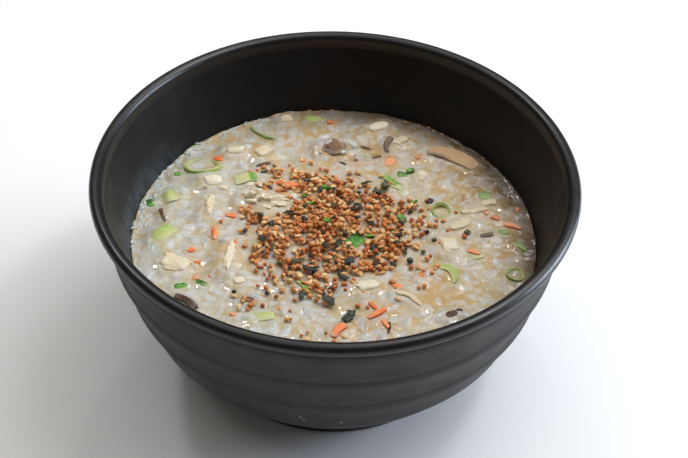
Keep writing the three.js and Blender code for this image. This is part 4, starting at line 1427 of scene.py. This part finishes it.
def make_chickens(shapes, random):
    look = food_look("chicken")
    for node, shape in shapes.items():
        piece = mesh_object(node + "_torn", *shape, look, "chicken", node)
        melt_together(piece)
        points = roughen(piece.data, *MEAT_ROUGHNESS, random)
        add_marks(piece.data, {
            "sunk": sunk_share(points[:, 2], CHICKENS[node]["show"]),
            "clear": clear_share(points[:, 0], points[:, 1]),
            "tone": np.full(len(points), CHICKENS[node].get("pale", PALE)),
        })


# ---- Film pieces ----


def beads(places, random):
    """Small drops, each (x, y, z, turn, length, width, height), as one part."""
    parts = []
    for x, y, z, turn, length, width, height in places:
        points, unit, quads = egg((length, width, height))
        points *= (1 + 0.1 * np.sin(unit @ random.normal(0, 3, 3)))[:, None]
        parts.append((turned(points, 0, 0, turn) + (x, y, z), quads, {}))
    return joined(parts)


def make_film(random, skin):
    """Bright wet lumps where the gel meets the wall, their bluish white partly painted reflection; warm
    specks at the back, which are painted glints; and drops above, their pale blue-grey a painted reflection.
    """
    cool, warm, drops = [], [], []
    for _ in range(FILM_LUMPS):
        angle = random.uniform(*FILM_ARC)
        x, y = around(angle, SURFACE_RADIUS - FILM_INSET - FILM_WIDTH * random.uniform(0, 1) ** 2)
        lift, turn, *size = draws(random, FILM_LIFT, FILM_TURN, *FILM_SIZE)
        cool.append((x, y, skin.height(x, y) + lift, angle + 90 + turn, *size))
    for _ in range(WARM_GLINTS):
        angle = random.uniform(*WARM_ARC)
        inset, stray = draws(random, WARM_INSET, (0, 1))
        if stray < WARM_STRAYS["share"]:
            inset += WARM_STRAYS["inset"]
        x, y = around(angle, SURFACE_RADIUS - inset)
        length = random.uniform(*WARM_LENGTH)
        warm.append((x, y, skin.height(x, y) + WARM_LIFT, angle + 90, length, WARM_WIDTH, WARM_WIDTH))
    for _ in range(WALL_DROPS):
        angle = random.uniform(*WALL_DROP_ARC)
        height = LEVEL_Z + WALL_DROP_RISE[0] + WALL_DROP_RISE[1] * random.uniform(0, 1) ** 2
        share = (height - LEVEL_Z) / (WALL_TOP[1] - LEVEL_Z)
        x, y = around(angle, LEVEL_RADIUS + (WALL_TOP[0] - LEVEL_RADIUS) * share)
        drops.append((x, y, height, angle, WALL_DROP_DEPTH, *draws(random, *WALL_DROP_SIZE)))
    for (name, tint), places in zip(FILM_SHEEN_TINTS.items(), (cool, warm, drops)):
        mesh_object(name, *beads(places, random), wet_film_look(name + "_gloss", tint), "congee")


def make_bubbles(random):
    places = [(x, y, float(surface_z(x, y)) + lift, 0, 2 * radius, 2 * radius, 2 * radius)
              for x, y, radius, lift in BUBBLES]
    mesh_object("clear_bubbles", *beads(places, random), broth_look(), "congee")


def make_threads(random, skin, boxes):
    """Thin, bent threads of starch that follow the porridge's relief, tinted near white as painted
    highlights: the thin glints of the wet film.
    """
    parts = []
    while len(parts) < THREADS:
        x, y = disc_place(random, SURFACE_RADIUS - THREAD_EDGE)
        if math.hypot(x, y) < THREAD_CLEARING or not is_free(x, y, boxes, THREAD_CLEARANCE):
            continue
        length, bend, turn = draws(random, THREAD_LENGTH, THREAD_BEND, ANY_TURN)
        points, _, quads = egg((length, *THREAD_THICK))
        points = turned(bend_points(points, 1, bend, length), 0, 0, turn) + (x, y, THREAD_LIFT)
        points[:, 2] += [skin.height(*place) for place in points[:, :2]]
        parts.append((points, quads, {}))
    mesh_object("glint_threads", *joined(parts), wet_film_look("glint_thread", THREAD_GLINT_TINT), "congee")


# ---- Stage ----


def make_camera():
    data = bpy.data.cameras.new("camera")
    data.sensor_width = SENSOR_WIDTH
    data.lens = FOCAL_LENGTH_PX / IMAGE_WIDTH_PX * SENSOR_WIDTH
    data.clip_start, data.clip_end = CLIP
    camera = bpy.data.objects.new("camera", data)
    camera.location = Vector(CAMERA_PLACE) * MM
    camera.rotation_euler = Euler([math.radians(angle) for angle in CAMERA_TURN_DEG], "XYZ")
    bpy.context.collection.objects.link(camera)
    bpy.context.scene.camera = camera


def make_lights():
    for name, (place, aim_height, size, watts, tint) in LIGHTS.items():
        data = bpy.data.lights.new(name, "AREA")
        data.shape = "DISK"
        data.size, data.energy, data.color = size, watts, tint
        lamp = bpy.data.objects.new(name, data)
        lamp.location = Vector(place) * MM
        towards = Vector((0, 0, aim_height)) * MM - lamp.location
        lamp.rotation_euler = towards.to_track_quat("-Z", "Y").to_euler()
        bpy.context.collection.objects.link(lamp)


def make_world():
    world = bpy.data.worlds.new("studio")
    world.use_nodes = True
    background = world.node_tree.nodes["Background"]
    background.inputs["Color"].default_value = WORLD_COLOR
    background.inputs["Strength"].default_value = WORLD_STRENGTH
    bpy.context.scene.world = world
    bpy.context.scene.view_settings.view_transform = "Standard"


def make_floor():
    look = Look("pale_floor")
    look.finish(look.mix(look.spread(look.noise(30), 0, 0.2), *FLOOR_COLORS), 0.9)
    mesh = bpy.data.meshes.new("floor")
    corners = [(FLOOR_HALF * x, FLOOR_HALF * y, 0) for x, y in ((-1, -1), (1, -1), (1, 1), (-1, 1))]
    mesh.from_pydata(corners, [], [(0, 1, 2, 3)])
    mesh.materials.append(look.material)
    floor = bpy.data.objects.new("floor", mesh)
    floor.location.z = -FLOOR_DROP * MM
    bpy.context.collection.objects.link(floor)


def make_all():
    make_camera()
    make_lights()
    make_world()
    make_floor()
    boxes = footprints()
    make_bowl(drawn(0))
    grains = loose_grains(drawn(1), boxes)
    scallions = shape_all(SCALLIONS, shape_scallion, drawn(2))
    carrots = shape_all(CARROTS, shape_carrot, drawn(3))
    shiitakes = shape_all(SHIITAKES, shape_shiitake, drawn(4))
    random = drawn(5)
    chickens = shape_all(CHICKENS, shape_chicken, random)
    add_spikes(chickens, "chicken_large", random)
    scraps = shape_scraps(drawn(6))
    skin = make_skin(drawn(7), grains, {**scallions, **carrots, **shiitakes, **chickens}, scraps)
    make_porridge(skin)
    make_rice(drawn(8), grains)
    make_sprinkle(drawn(9), boxes)
    make_toppings(scallions, "scallion")
    make_toppings(carrots, "carrot")
    make_toppings(shiitakes, "shiitake")
    make_chickens(chickens, drawn(10))
    for name, (slot, *_) in SCRAPS.items():
        mesh_object(name, *joined(scraps[name]), food_look(slot), slot)
    make_film(drawn(12), skin)
    make_bubbles(drawn(13))
    make_threads(drawn(14), skin, boxes)


make_all()
